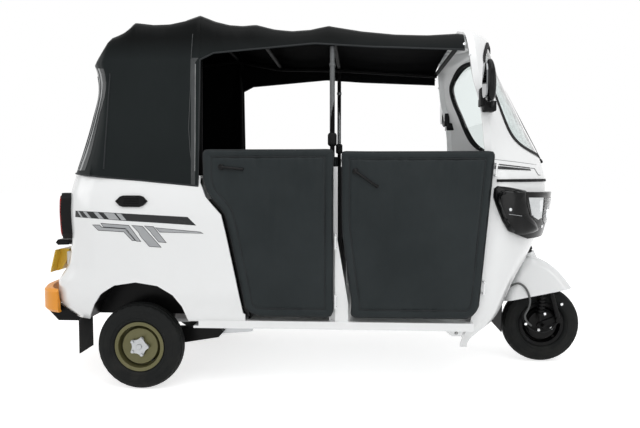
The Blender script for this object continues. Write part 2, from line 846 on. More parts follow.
@dataclass
class Studio:
    """Floor, light and camera."""

    eye: Vector = field(default_factory=lambda: Vector((0.18669, -3.5089, 1.0014)))
    yaw: float = -3.43
    pitch: float = -3.46
    lens: float = 36.12
    sensor: float = 36.0
    view_size: tuple = (640, 428)
    floor_size: float = 60.0
    floor_colour: tuple = (0.86, 0.86, 0.86, 1)
    floor_lift: float = 0.66
    ambient: float = 0.52
    lamps: tuple = (
        ("key_light", (0.6, -2.2, 4.6), (0.1, 0.0, 0.6), 4.5, 116.0),
        ("rear_light", (-4.8, -1.6, 2.6), (0.0, 0.0, 0.7), 2.6, 40.0),
        ("front_light", (4.6, -4.6, 1.5), (0.9, -0.4, 0.7), 2.6, 40.0),
        ("fill_light", (0.3, -4.8, 1.7), (0.4, 0.4, 1.2), 1.6, 12.0),
        ("cabin_light", (0.28, -0.25, 1.46), (0.74, 0.50, 1.32), 0.4, 2.2),
    )

    def build(self) -> None:
        """Makes the floor, the lamps, the surrounding light and the camera."""
        self.build_camera()
        self.build_floor()
        self.build_world()
        for lamp in self.lamps:
            self.add_lamp(*lamp)
        bpy.context.scene.view_settings.view_transform = "Standard"

    def way(self) -> Vector:
        """The way that the camera looks."""
        yaw, pitch = math.radians(self.yaw), math.radians(self.pitch)
        return Vector((math.sin(yaw) * math.cos(pitch), math.cos(yaw) * math.cos(pitch), math.sin(pitch)))

    def build_camera(self) -> None:
        """Makes the camera at the photograph's viewing angle."""
        data = bpy.data.cameras.new("camera")
        data.lens = self.lens
        data.sensor_width = self.sensor
        item = bpy.data.objects.new("camera", data)
        bpy.context.collection.objects.link(item)
        item.location = self.eye
        item.rotation_mode = "QUATERNION"
        item.rotation_quaternion = self.way().to_track_quat("-Z", "Y")
        bpy.context.scene.camera = item

    def build_floor(self) -> None:
        """Makes the pale floor, which looks white and keeps the shadow."""
        Bench.clear()
        bpy.ops.mesh.primitive_plane_add(size=self.floor_size)
        floor = bpy.context.object
        floor.name = "floor"
        made = bpy.data.materials.new("pale_floor")
        made.use_nodes = True
        wires = Wires(made.node_tree)
        made.node_tree.nodes.remove(made.node_tree.nodes["Principled BSDF"])
        matte = wires.add("ShaderNodeBsdfDiffuse", Color=self.floor_colour)
        glow = wires.add("ShaderNodeEmission", Color=(1, 1, 1, 1))
        rays = wires.add("ShaderNodeLightPath")
        seen = wires.maths("MAXIMUM", rays.outputs["Is Camera Ray"], rays.outputs["Is Glossy Ray"])
        seen = wires.maths("MAXIMUM", seen, rays.outputs["Is Transmission Ray"])
        lift = wires.maths("MULTIPLY", seen, self.floor_lift)
        wires.tree.links.new(lift, glow.inputs["Strength"])
        both = wires.add("ShaderNodeAddShader")
        wires.tree.links.new(matte.outputs[0], both.inputs[0])
        wires.tree.links.new(glow.outputs[0], both.inputs[1])
        wires.tree.links.new(both.outputs[0], made.node_tree.nodes["Material Output"].inputs["Surface"])
        floor.data.materials.append(made)

    def build_world(self) -> None:
        """Makes the surrounding light, white where the camera sees it."""
        world = bpy.data.worlds.new("studio")
        bpy.context.scene.world = world
        world.use_nodes = True
        wires = Wires(world.node_tree)
        background = world.node_tree.nodes["Background"]
        background.inputs["Color"].default_value = (1, 1, 1, 1)
        rays = wires.add("ShaderNodeLightPath")
        seen = wires.maths("MAXIMUM", rays.outputs["Is Camera Ray"], rays.outputs["Is Transmission Ray"])
        seen = wires.maths("MAXIMUM", seen, rays.outputs["Is Glossy Ray"])
        strength = wires.add("ShaderNodeMapRange")
        strength.inputs["To Min"].default_value = self.ambient
        strength.inputs["To Max"].default_value = 1.0
        wires.tree.links.new(seen, strength.inputs["Value"])
        wires.join(strength, "Result", background, "Strength")

    def add_lamp(self, name: str, place: tuple, aim: tuple, size: float, power: float) -> None:
        """Hangs one soft square lamp.

        Args:
            name: The lamp's name.
            place: Where it hangs.
            aim: The point that it shines at.
            size: Side of its face.
            power: Its power in watts.
        """
        data = bpy.data.lights.new(name, "AREA")
        data.energy = power
        data.size = size
        item = bpy.data.objects.new(name, data)
        bpy.context.collection.objects.link(item)
        item.location = place
        item.rotation_mode = "QUATERNION"
        item.rotation_quaternion = (Vector(aim) - Vector(place)).to_track_quat("-Z", "Y")
        item.visible_camera = False


class Sight:
    """Finds the place on a skin that a point of the view falls on."""

    tries = 8

    def __init__(self, studio: Studio) -> None:
        """Takes the view from the studio's camera.

        Args:
            studio: The stage with its camera.
        """
        self.eye = studio.eye
        self.way = studio.way()
        self.right = self.way.cross(Vector((0, 0, 1))).normalized()
        self.up = self.right.cross(self.way)
        self.middle = (studio.view_size[0] / 2, studio.view_size[1] / 2)
        self.focal = studio.view_size[0] * studio.lens / studio.sensor

    def ray(self, across: float, down: float) -> Vector:
        """The way from the eye through a point of the view."""
        side, rise = (across - self.middle[0]) / self.focal, (self.middle[1] - down) / self.focal
        return (self.way + self.right * side + self.up * rise).normalized()

    def on(self, skin: Skin, across: float, down: float, slip: float = 0.0) -> tuple[Vector, Vector] | None:
        """The place and normal of the skin at a point of the view.

        Args:
            skin: The skin.
            across: How far across the view.
            down: How far down the view.
            slip: How far to the side a point beside the skin may slip onto it.

        Returns:
            Place and normal, or None beside the skin.
        """
        for step in range(self.tries + 1):
            for way in (1.0, -1.0):
                hit = skin.first(self.eye, self.ray(across + way * slip * step / self.tries, down))
                if hit:
                    return hit
        return None

    def line(self, skin: Skin, route: Sequence[tuple[float, float]], steps: int, lift: float,
             slip: float = 0.0, limit: float = 9.0) -> list[Vector]:
        """Points on the skin under a route drawn in the view.

        Args:
            skin: The skin.
            route: Corners of the route across and down the view.
            steps: Number of points between two corners.
            lift: How far the points stand off the skin.
            slip: How far to the side a point may slip onto the skin.
            limit: Points whose place across the vehicle is past this are left out.

        Returns:
            The points, without one at the last corner.
        """
        line = []
        for start, end in zip(route, route[1:]):
            for step in range(steps):
                across, down = (start[i] + (end[i] - start[i]) * step / steps for i in range(2))
                hit = self.on(skin, across, down, slip)
                if hit and hit[0].y < limit:
                    line.append(hit[0] + hit[1] * lift)
        return line


SIGHT = Sight(Studio())


@dataclass
class Carried:
    """The nodes that keep their solids and get a finish."""

    def dress(self) -> None:
        """Puts each node's finish on its object."""
        slots = {row["node"]: row["material_slot"] for row in frame["record"]["subparts"]}
        slots.update({"front_rim": "black_steel", "door_hinges": "white_paint",
                      "canopy_frame": "frame_black"})
        for name, item in frame["nodes"].items():
            item.data.materials.clear()
            item.data.materials.append(finish_of(slots[name]))
        LOG.info("dressed %d nodes", len(slots))


# Soft top

@dataclass
class SoftTop:
    """The stretched soft top, its piping, its snaps and its rear window."""

    front: float = 1507.3
    side_front: float = 290.0
    across: int = 72
    thickness: float = 0.0035
    length: float = 2.6
    piping: float = 0.0042
    strip_wall: float = 0.0008
    near_side: float = -0.45
    corner_reach: tuple = ((900, 24), (1000, 24), (1100, 19), (1215, 18), (1430, 23), (1519, 31), (1560, 24),
                           (1650, 14), (1713, 8), (1900, 0))
    bow_height: float = 1519.0
    bow_swell: float = 6.0
    bow_wide: float = 13.0
    corner_band: tuple = (150.0, 270.0)
    corner_depth: tuple = (40.0, 160.0)
    folds: tuple = ((272, 30, 7, 3.4), (246, 52, 8, 3.0), (214, 20, 12, 2.0))
    snap_places: tuple = ((1488, 1588), (1490, 1560))
    snap_lift: float = 0.001
    snap_size: tuple = (0.006, 0.005, 0.0015, 20)
    window_half: float = 330.0
    window_foot: float = 1130.0
    window_tall: float = 250.0
    window_cells: tuple = (22, 12)
    window_lift: float = 0.0015
    window_wall: float = 0.0012
    window_bead: float = 0.005
    lip_places: tuple = (1503, 1498, 1490, 1480)
    roof_from: float = 1468.0
    roof_step: float = 14.0
    roof_clear: float = 66.0
    ahead_of_side: tuple = (62, 52, 42, 32, 23, 15, 9, 5, 2.2, 0.6)
    behind_side: tuple = (0.8, 4, 9, 16, 24)
    side_step: float = 12.0
    rear_from: float = -196.0
    rear_steps: int = 46
    core_heights: tuple = (905.0, 1012.0, 1150.0)
    rear_core_to: float = -190.0
    section_reach: float = 1.2
    section_angles: tuple = (-30.0, 89.5)
    section_steps: int = 90
    edge_halvings: int = 18
    fold_top: float = 1600.0
    fold_tall: float = 640.0
    edge_wave: float = 3.0
    face_wave: float = 1.6
    corner_angles: tuple = (24.0, 52.0)
    corner_core: tuple = (-20.0, 330.0)
    corner_foot: float = 1030.0
    corner_tall: float = 440.0
    corner_steps: int = 22
    gloss_view: tuple = (68.5, 170.5)
    gloss_from: float = 60.0
    gloss_step: float = 0.25
    gloss_rows: int = 36
    gloss_strips: tuple = (("soft_top_gloss_outer", "worn_gloss", 0.5, 0.7),
                           ("soft_top_gloss_inner", "worn_gloss", 2.2, 1.6),
                           ("soft_top_gloss_wide", "half_gloss", 3.9, 3.4))
    hem_view: tuple = (58.0, 185.0)
    hem_rows: int = 30
    hem_left: float = 191.0
    hem_right: float = 195.2
    hem_top_right: float = 198.6
    hem_top: float = 62.0
    hem_lines: tuple = (
        ("soft_top_hem_fold", "worn_gloss", 0.0014,
         ((195.3, 64), (195.2, 90), (195.1, 120), (195.0, 150), (194.8, 174))),
        ("soft_top_hem_crease", "half_gloss", 0.0018,
         ((192.7, 34), (191.0, 60), (190.4, 90), (188.6, 128), (190.2, 152), (193.4, 174))),
    )

    def places(self) -> list[float]:
        """Places along the vehicle, closer together where the sheet's edge turns."""
        spots = [self.front, *self.lip_places]
        rear = (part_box("canopy")[0].x - AXLE_BACK) * 1000 + 0.5
        spots += [self.roof_from - self.roof_step * step for step in range(80)]
        spots = [x for x in spots if x > self.side_front + self.roof_clear]
        spots += [self.side_front + ahead for ahead in self.ahead_of_side]
        spots += [self.side_front - behind for behind in self.behind_side]
        start = self.side_front - self.behind_side[-1]
        spots += [start - self.side_step * step for step in range(1, 39)]
        spots = [x for x in spots if x > self.rear_from]
        steps = self.rear_steps
        spots += [self.rear_from + (rear - self.rear_from) * (step / steps) for step in range(steps + 1)]
        return spots

    def section(self, skin: Skin, x: float) -> list[Vector]:
        """Points over the skin's section at one place, from the right edge to the left edge.

        Args:
            skin: The solid's skin.
            x: The place along the vehicle in millimetres.

        Returns:
            Evenly spaced points.
        """
        rear, side, roof = self.core_heights
        core = spot(x, 0, rear if x < self.rear_core_to else side if x < self.side_front else roof)

        def hit(angle: float) -> Vector | None:
            return skin.last(core, Vector((0, -math.cos(angle), math.sin(angle))), self.section_reach)

        low, high = (math.radians(angle) for angle in self.section_angles)
        steps = self.section_steps
        angles = [high + (low - high) * step / steps for step in range(steps + 1)]
        points = []
        before = high
        if hit(high) is None:
            return []
        for angle in angles:
            found = hit(angle)
            if found is None:
                inside, outside = before, angle
                for _ in range(self.edge_halvings):
                    middle = (inside + outside) / 2
                    if hit(middle) is None:
                        outside = middle
                    else:
                        inside = middle
                points.append(hit(inside))
                break
            points.append(found)
            before = angle
        points.reverse()
        lengths = [0.0]
        for first, second in zip(points, points[1:]):
            lengths.append(lengths[-1] + (second - first).length)
        half = self.across // 2
        even = []
        for index in range(half):
            share = lengths[-1] * index / (half - 0.5)
            after = next(i for i, value in enumerate(lengths) if value >= share - 1e-9)
            if after == 0:
                even.append(points[0].copy())
                continue
            span = lengths[after] - lengths[after - 1]
            even.append(points[after - 1].lerp(points[after], (share - lengths[after - 1]) / span))
        return even + [Vector((p.x, -p.y, p.z)) for p in reversed(even)]

    def fold(self, point: Vector, normal: Vector, x: float) -> Vector:
        """Moves a point of the sheet by the folds that the cover shows.

        Args:
            point: The point on the taut sheet.
            normal: The sheet's outward normal there.
            x: Its place along the vehicle in millimetres.

        Returns:
            The moved point.
        """
        height = point.z * 1000
        push = 0.0
        if abs(normal.y) > 0.6 and x < self.side_front:
            drop = max(0.0, min(1.0, (self.fold_top - height) / self.fold_tall))
            for middle, lean, width, depth in self.folds:
                line = middle - lean * drop * (1 - drop) * 1.6
                swell = math.sin(math.pi * min(1.0, drop * 1.1 + 0.08))
                push += depth * math.exp(-((x - line) / width) ** 2) * swell
        if abs(normal.y) > 0.5 and x > self.side_front + 30 and height < 1660:
            edge = max(0.0, 1 - (height - 1545) / 70)
            push += self.edge_wave * edge * noise.noise(Vector((x / 62, 3.1, height / 60)))
        push += self.face_wave * noise.noise(Vector((x / 160, point.y * 4, height / 140)))
        return point + normal * (push / 1000) - Vector((self.reach_back(point, x) / 1000, 0, 0))

    def reach_back(self, point: Vector, x: float) -> float:
        """How far the stretched rear corners stand out behind the plain sheet.

        Args:
            point: The point on the taut sheet.
            x: Its place along the vehicle in millimetres.

        Returns:
            The distance in millimetres.
        """
        height = point.z * 1000
        bow = self.bow_swell * math.exp(-((height - self.bow_height) / self.bow_wide) ** 2)
        reach = read_table(self.corner_reach, height) + bow
        inner, wide = self.corner_band
        aside = ease((abs(point.y) * 1000 - inner) / wide)
        front, deep = self.corner_depth
        return reach * ease((front - x) / deep) * (0.3 + 0.7 * aside)

    def build(self) -> None:
        """Makes the sheet, its piping, snaps and rear window."""
        skin = Skin("canopy")
        places = self.places()
        made = [(x, self.section(skin, x)) for x in places]
        places = [x for x, row in made if row]
        rows = [row for x, row in made if row]
        LOG.info("soft top rows from %.1f to %.1f", places[0], places[-1])
        count = self.across
        points = [point for row in rows for point in row]
        item = Bench.from_faces("soft_top_sheet", points, Bench.grid(len(rows), count))
        mesh = bmesh.new()
        mesh.from_mesh(item.data)
        bmesh.ops.recalc_face_normals(mesh, faces=mesh.faces)
        mesh.normal_update()
        top = max(mesh.faces, key=lambda face: face.calc_center_median().z)
        if top.normal.z < 0:
            bmesh.ops.reverse_faces(mesh, faces=mesh.faces)
            mesh.normal_update()
        mesh.verts.ensure_lookup_table()
        for number, vertex in enumerate(mesh.verts):
            vertex.co = self.fold(vertex.co, vertex.normal, places[number // count])
        mesh.to_mesh(item.data)
        mesh.free()
        bpy.context.view_layer.update()
        edge = [item.data.vertices[row * count].co.copy() for row in range(len(rows))]
        item.data.materials.append(finish_of("canopy_vinyl"))
        item.data.materials.append(finish_of("cloth_lining"))
        Bench.wall(item, self.thickness, lining=1)
        Bench.keep(item, "soft_top_sheet", "chassis", "canopy_vinyl", ["canopy"], smooth=50)
        sheet = Skin.of(item)
        trims = self.build_piping(edge, sheet) + self.build_corner_gloss(sheet) + self.build_side_hem(sheet)
        self.build_snaps()
        self.build_window(sheet)

    def lay_strip(self, rows: Sequence[Sequence[Vector]], name: str, finish: str) -> list[bpy.types.Object]:
        """Makes a thin sewn strip from rows of points on the sheet, and its mirror image.

        Args:
            rows: Rows of points, all as long.
            name: The pieces' name.
            finish: Their finish.

        Returns:
            The two pieces.
        """
        points = [point for row in rows for point in row]
        item = Bench.from_faces(name, points, Bench.grid(len(rows), len(rows[0])))
        Bench.wall(item, self.strip_wall, 0.0)
        Bench.outward(item)
        return Bench.keep_pair(item, name, "chassis", finish, smooth=60)

    def build_corner_gloss(self, sheet: Skin) -> list[bpy.types.Object]:
        """Makes the shiny worn welts down the rear corners, one each side of the corner seam.

        Args:
            sheet: The finished sheet's skin.

        Returns:
            The new pieces.
        """
        top, foot = self.gloss_view
        tries = [self.gloss_from + self.gloss_step * number for number in range(240)]
        last = self.gloss_rows - 1
        edges = []
        for step in range(self.gloss_rows):
            down = top + (foot - top) * step / last
            across = next((place for place in tries if sheet.first(SIGHT.eye, SIGHT.ray(place, down))), None)
            if across is not None:
                edges.append((across, down, step / last))
        made = []
        for name, finish, start, width in self.gloss_strips:
            rows = []
            for across, down, share in edges:
                swell = 0.75 + 0.35 * math.cos(share * math.tau)
                row = []
                for number in range(4):
                    hit = SIGHT.on(sheet, across + start + width * swell * number / 3, down)
                    if hit:
                        row.append(hit[0] + hit[1] * self.strip_wall)
                if len(row) == 4:
                    rows.append(row)
            made += self.lay_strip(rows, name, finish)
        return made

    def build_side_hem(self, sheet: Skin) -> list[bpy.types.Object]:
        """Makes the sewn hem down the front edge of the soft sides, its bright fold and its crease.

        Args:
            sheet: The finished sheet's skin.

        Returns:
            The new pieces.
        """
        rows = []
        top, foot = self.hem_view
        last = self.hem_rows - 1
        for step in range(self.hem_rows):
            down = top + (foot - top) * step / last
            wide = (self.hem_top_right if down < self.hem_top else self.hem_right) - self.hem_left
            row = [SIGHT.on(sheet, self.hem_left + wide * number / 4, down) for number in range(5)]
            if all(hit and hit[0].y < self.near_side for hit in row):
                rows.append([hit[0] + hit[1] * self.strip_wall for hit in row])
        made = self.lay_strip(rows, "soft_top_side_hem", "half_gloss")
        for name, finish, radius, route in self.hem_lines:
            line = SIGHT.line(sheet, route, 8, 0.0006, 1.5, self.near_side)
            made += Bench.keep_pair(Bench.cord_mesh(line, radius, sides=2), name, "chassis", finish)
        return made

    def build_piping(self, edge: Sequence[Vector], skin: Skin) -> list[bpy.types.Object]:
        """Makes the beads along the sheet's side edges and up its rear corners.

        Args:
            edge: The sheet's right lower edge.
            skin: The finished sheet's skin.

        Returns:
            The new pieces.
        """
        made = []
        for name, way in (("right", 1.0), ("left", -1.0)):
            line = [Vector((p.x, p.y * way, p.z)) for p in edge]
            bead = Bench.cord_mesh(line, self.piping, smooth=False, sides=2)
            made.append(Bench.keep(bead, "soft_top_edge_" + name, "chassis", "thread"))
        for name, side in (("right", -1.0), ("left", 1.0)):
            for number, angle in enumerate(self.corner_angles):
                line = []
                for step in range(self.corner_steps):
                    height = self.corner_foot + self.corner_tall * step / (self.corner_steps - 1)
                    core = spot(self.corner_core[0], side * self.corner_core[1], height)
                    turn = math.radians(angle)
                    way = Vector((-math.sin(turn), side * math.cos(turn), 0))
                    hit = skin.last(core, way, 0.8)
                    if hit is not None:
                        line.append(hit + way * 0.0005)
                bead = Bench.cord_mesh(line, self.piping * 0.8, sides=2)
                label = "soft_top_corner_bead_%s_%d" % (name, number + 1)
                made.append(Bench.keep(bead, label, "chassis", "thread"))
        return made

    def build_snaps(self) -> None:
        """Makes the press studs at the front lip."""
        studs = []
        skin = Skin("canopy")
        for side in (-1.0, 1.0):
            for x, height in self.snap_places:
                hit = skin.first(spot(x, side * ASIDE, height), Vector((0, -side, 0)))
                if hit:
                    place = hit[0] + Vector((0, side * self.snap_lift, 0))
                    studs.append(Bench.disc(place, Vector((0, side, 0)), *self.snap_size))
        if studs:
            Bench.keep(Bench.join(studs), "soft_top_snaps", "chassis", "chrome")

    def build_window(self, skin: Skin) -> None:
        """Makes the clear rear window and its sewn frame.

        Args:
            skin: The finished sheet's skin.
        """
        columns, rows = self.window_cells
        points = []
        for row in range(rows):
            for column in range(columns):
                y = -self.window_half + 2 * self.window_half * column / (columns - 1)
                height = self.window_foot + self.window_tall * row / (rows - 1)
                hit = skin.first(spot(-ASIDE, y, height), Vector((1, 0, 0)))
                points.append(hit[0] + hit[1] * self.window_lift)
        item = Bench.from_faces("rear_window", points, [face[::-1] for face in Bench.grid(rows, columns)])
        Bench.wall(item, self.window_wall, 1.0)
        Bench.outward(item)
        Bench.keep(item, "soft_top_rear_window", "chassis", "clear_sheet")
        rim = [points[column] for column in range(columns)]
        rim += [points[row * columns + columns - 1] for row in range(1, rows)]
        rim += [points[(rows - 1) * columns + column] for column in range(columns - 2, -1, -1)]
        rim += [points[row * columns] for row in range(rows - 2, 0, -1)]
        bead = Bench.cord_mesh(rim, self.window_bead, closed=True, smooth=False)
        Bench.keep(bead, "soft_top_window_bead", "chassis", "thread")


# Rear body

@dataclass
class RearBody:
    """The rear panels and tail lamps, whose sheet draws in below the lamps down to the bumper."""

    table: tuple = ((290, 0), (380, 10), (463, 28), (520, 44), (568, 50), (640, 46), (700, 42), (793, 26),
                    (880, 8), (925, 0))
    start: float = -120.0
    full: float = -320.0
    lamp_set_back: float = 18.0
    flap_edge: tuple = ((520, 352), (492, 440), (474, 526), (430, 739), (408, 826), (352, 892))
    flap_wide: float = 70.0
    flap_planes: tuple = (-610.0, -604.0)
    made: dict[str, bpy.types.Object] = field(default_factory=dict)

    def draw_in(self, x: float, height: float) -> float:
        """How far the sheet draws in at a place, in millimetres.

        Args:
            x: The place along the vehicle in millimetres.
            height: The height in millimetres.

        Returns:
            The distance forward in millimetres.
        """
        return read_table(self.table, height) * ease((self.start - x) / (self.start - self.full))

    def build(self) -> None:
        """Makes the drawn-in panels from copies of the solids."""
        slots = {row["node"]: row["material_slot"] for row in frame["record"]["subparts"]}
        for node, body, extra in (("quarter_panel_right", "chassis", 0.0),
                                  ("quarter_panel_left", "chassis", 0.0), ("rear_panel", "chassis", 0.0),
                                  ("rear_lid", "tail_lid", 0.0),
                                  ("tail_lamp_housings", "chassis", self.lamp_set_back),
                                  ("tail_lamp_lenses", "chassis", self.lamp_set_back)):
            mesh = bmesh.new()
            mesh.from_mesh(frame["nodes"][node].data)
            bmesh.ops.remove_doubles(mesh, verts=mesh.verts, dist=0.00001)
            for vertex in mesh.verts:
                x, height = (vertex.co.x - AXLE_BACK) * 1000, vertex.co.z * 1000
                vertex.co.x += (self.draw_in(x, height) + extra) / 1000
            item = Bench.from_mesh(node + "_sheet", mesh)
            self.made[node] = Bench.keep(item, node + "_sheet", body, slots[node], [node], smooth=30)
        self.plate_stand()
        self.door_flap()

    def door_flap(self) -> None:
        """Makes the black flaps behind the rear edge of each rear door, fastened to the body inside."""
        behind = [(x - self.flap_wide, z) for x, z in reversed(self.flap_edge)]
        flap = Bench.prism("door_flap", list(self.flap_edge) + behind, *self.flap_planes)
        Bench.keep_pair(flap, "door_flap", "chassis", "black_plastic")

    def plate_stand(self) -> None:
        """Makes the stand that carries the number plate and the plate lamp off the panel."""
        low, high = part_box("number_plate")
        stand = Bench.slab(Vector((high.x - 0.012, low.y + 0.05, low.z + 0.030)),
                           Vector((high.x + 0.062, high.y - 0.05, high.z - 0.012)), 0.006)
        Bench.keep(stand, "plate_stand", "chassis", "white_paint")
        low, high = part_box("plate_lamp")
        neck = Bench.slab(Vector((low.x + 0.004, low.y + 0.004, low.z + 0.003)),
                          Vector((high.x + 0.055, high.y - 0.004, high.z - 0.003)), 0.005)
        Bench.keep(neck, "plate_lamp_neck", "chassis", "black_plastic")


# Padded pieces

class Padding:
    """Stuffs a closed shape with a short cloth simulation."""

    @staticmethod
    def stuff(item: bpy.types.Object, voxel: float, cap: float, pressure: float = 4.0,
              frames: int = 20) -> None:
        """Remeshes a shape, swells it by cloth simulation and smooths it.

        Args:
            item: The closed shape, which is changed.
            voxel: Size of the remeshing cells.
            cap: The farthest that a point may move.
            pressure: Air pressure inside.
            frames: Length of the simulation.
        """
        Bench.hold(item)
        remesh = item.modifiers.new("even", "REMESH")
        remesh.mode = "VOXEL"
        remesh.voxel_size = voxel
        bpy.ops.object.modifier_apply(modifier="even")
        rest = [vertex.co.copy() for vertex in item.data.vertices]
        cloth = item.modifiers.new("cloth", "CLOTH")
        cloth.settings.quality = 4
        cloth.settings.use_pressure = True
        cloth.settings.uniform_pressure_force = pressure
        cloth.settings.effector_weights.gravity = 0.0
        cloth.collision_settings.use_collision = False
        cloth.point_cache.frame_start = 1
        cloth.point_cache.frame_end = frames
        for number in range(1, frames + 1):
            bpy.context.scene.frame_set(number)
        shape = item.evaluated_get(bpy.context.evaluated_depsgraph_get())
        moved = [vertex.co.copy() for vertex in shape.data.vertices]
        item.modifiers.remove(cloth)
        bpy.context.scene.frame_set(1)
        for vertex, start, end in zip(item.data.vertices, rest, moved):
            step = end - start
            if step.length > cap:
                step = step.normalized() * cap
            vertex.co = start + step
        item.data.update()
        relax = item.modifiers.new("relax", "SMOOTH")
        relax.iterations = 4
        Bench.hold(item)
        bpy.ops.object.modifier_apply(modifier="relax")
        finer = item.modifiers.new("finer", "SUBSURF")
        finer.levels = 1
        finer.render_levels = 1
        bpy.ops.object.modifier_apply(modifier="finer")


@dataclass
class Seats:
    """The driver's seat and the rear bench, padded and piped."""

    voxel: float = 0.011
    cap: float = 0.012
    bead: float = 0.004
    inset: float = 0.008
    rounding: float = 0.022
    edge: float = 0.020
    bead_drop: float = 0.014

    def build(self) -> None:
        """Makes the four cushions with their piping."""
        for name, upright in (("bench_cushion", False), ("bench_backrest", True), ("driver_cushion", False),
                              ("driver_backrest", True)):
            self.cushion(name, upright)

    def cushion(self, node: str, upright: bool) -> None:
        """Makes one cushion from the space that its solid holds.

        Args:
            node: The solid's node.
            upright: Whether it is a backrest.
        """
        low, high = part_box(node)
        inset = Vector((self.inset, self.inset, self.inset))
        item = Bench.slab(low + inset, high - inset, self.rounding)
        Padding.stuff(item, self.voxel, self.cap)
        for vertex in item.data.vertices:
            vertex.co.z = max(vertex.co.z, low.z + 0.001)
        Bench.keep(item, node + "_pad", "chassis", "black_vinyl", [node], smooth=60)
        edge = self.edge
        if upright:
            x = high.x - self.bead_drop
            ring = [(x, low.y + edge, low.z + edge), (x, high.y - edge, low.z + edge),
                    (x, high.y - edge, high.z - edge), (x, low.y + edge, high.z - edge)]
        else:
            z = high.z - self.bead_drop
            ring = [(low.x + edge, low.y + edge, z), (high.x - edge, low.y + edge, z),
                    (high.x - edge, high.y - edge, z), (low.x + edge, high.y - edge, z)]
        tree = tree_of(item.data)
        line = []
        for start, end in zip(ring, ring[1:] + ring[:1]):
            for step in range(18):
                point = Vector(start).lerp(Vector(end), step / 18)
                line.append(tree.find_nearest(point)[0])
        bead = Bench.cord_mesh(line, self.bead, closed=True, sides=2)
        Bench.keep(bead, node + "_piping", "chassis", "thread")


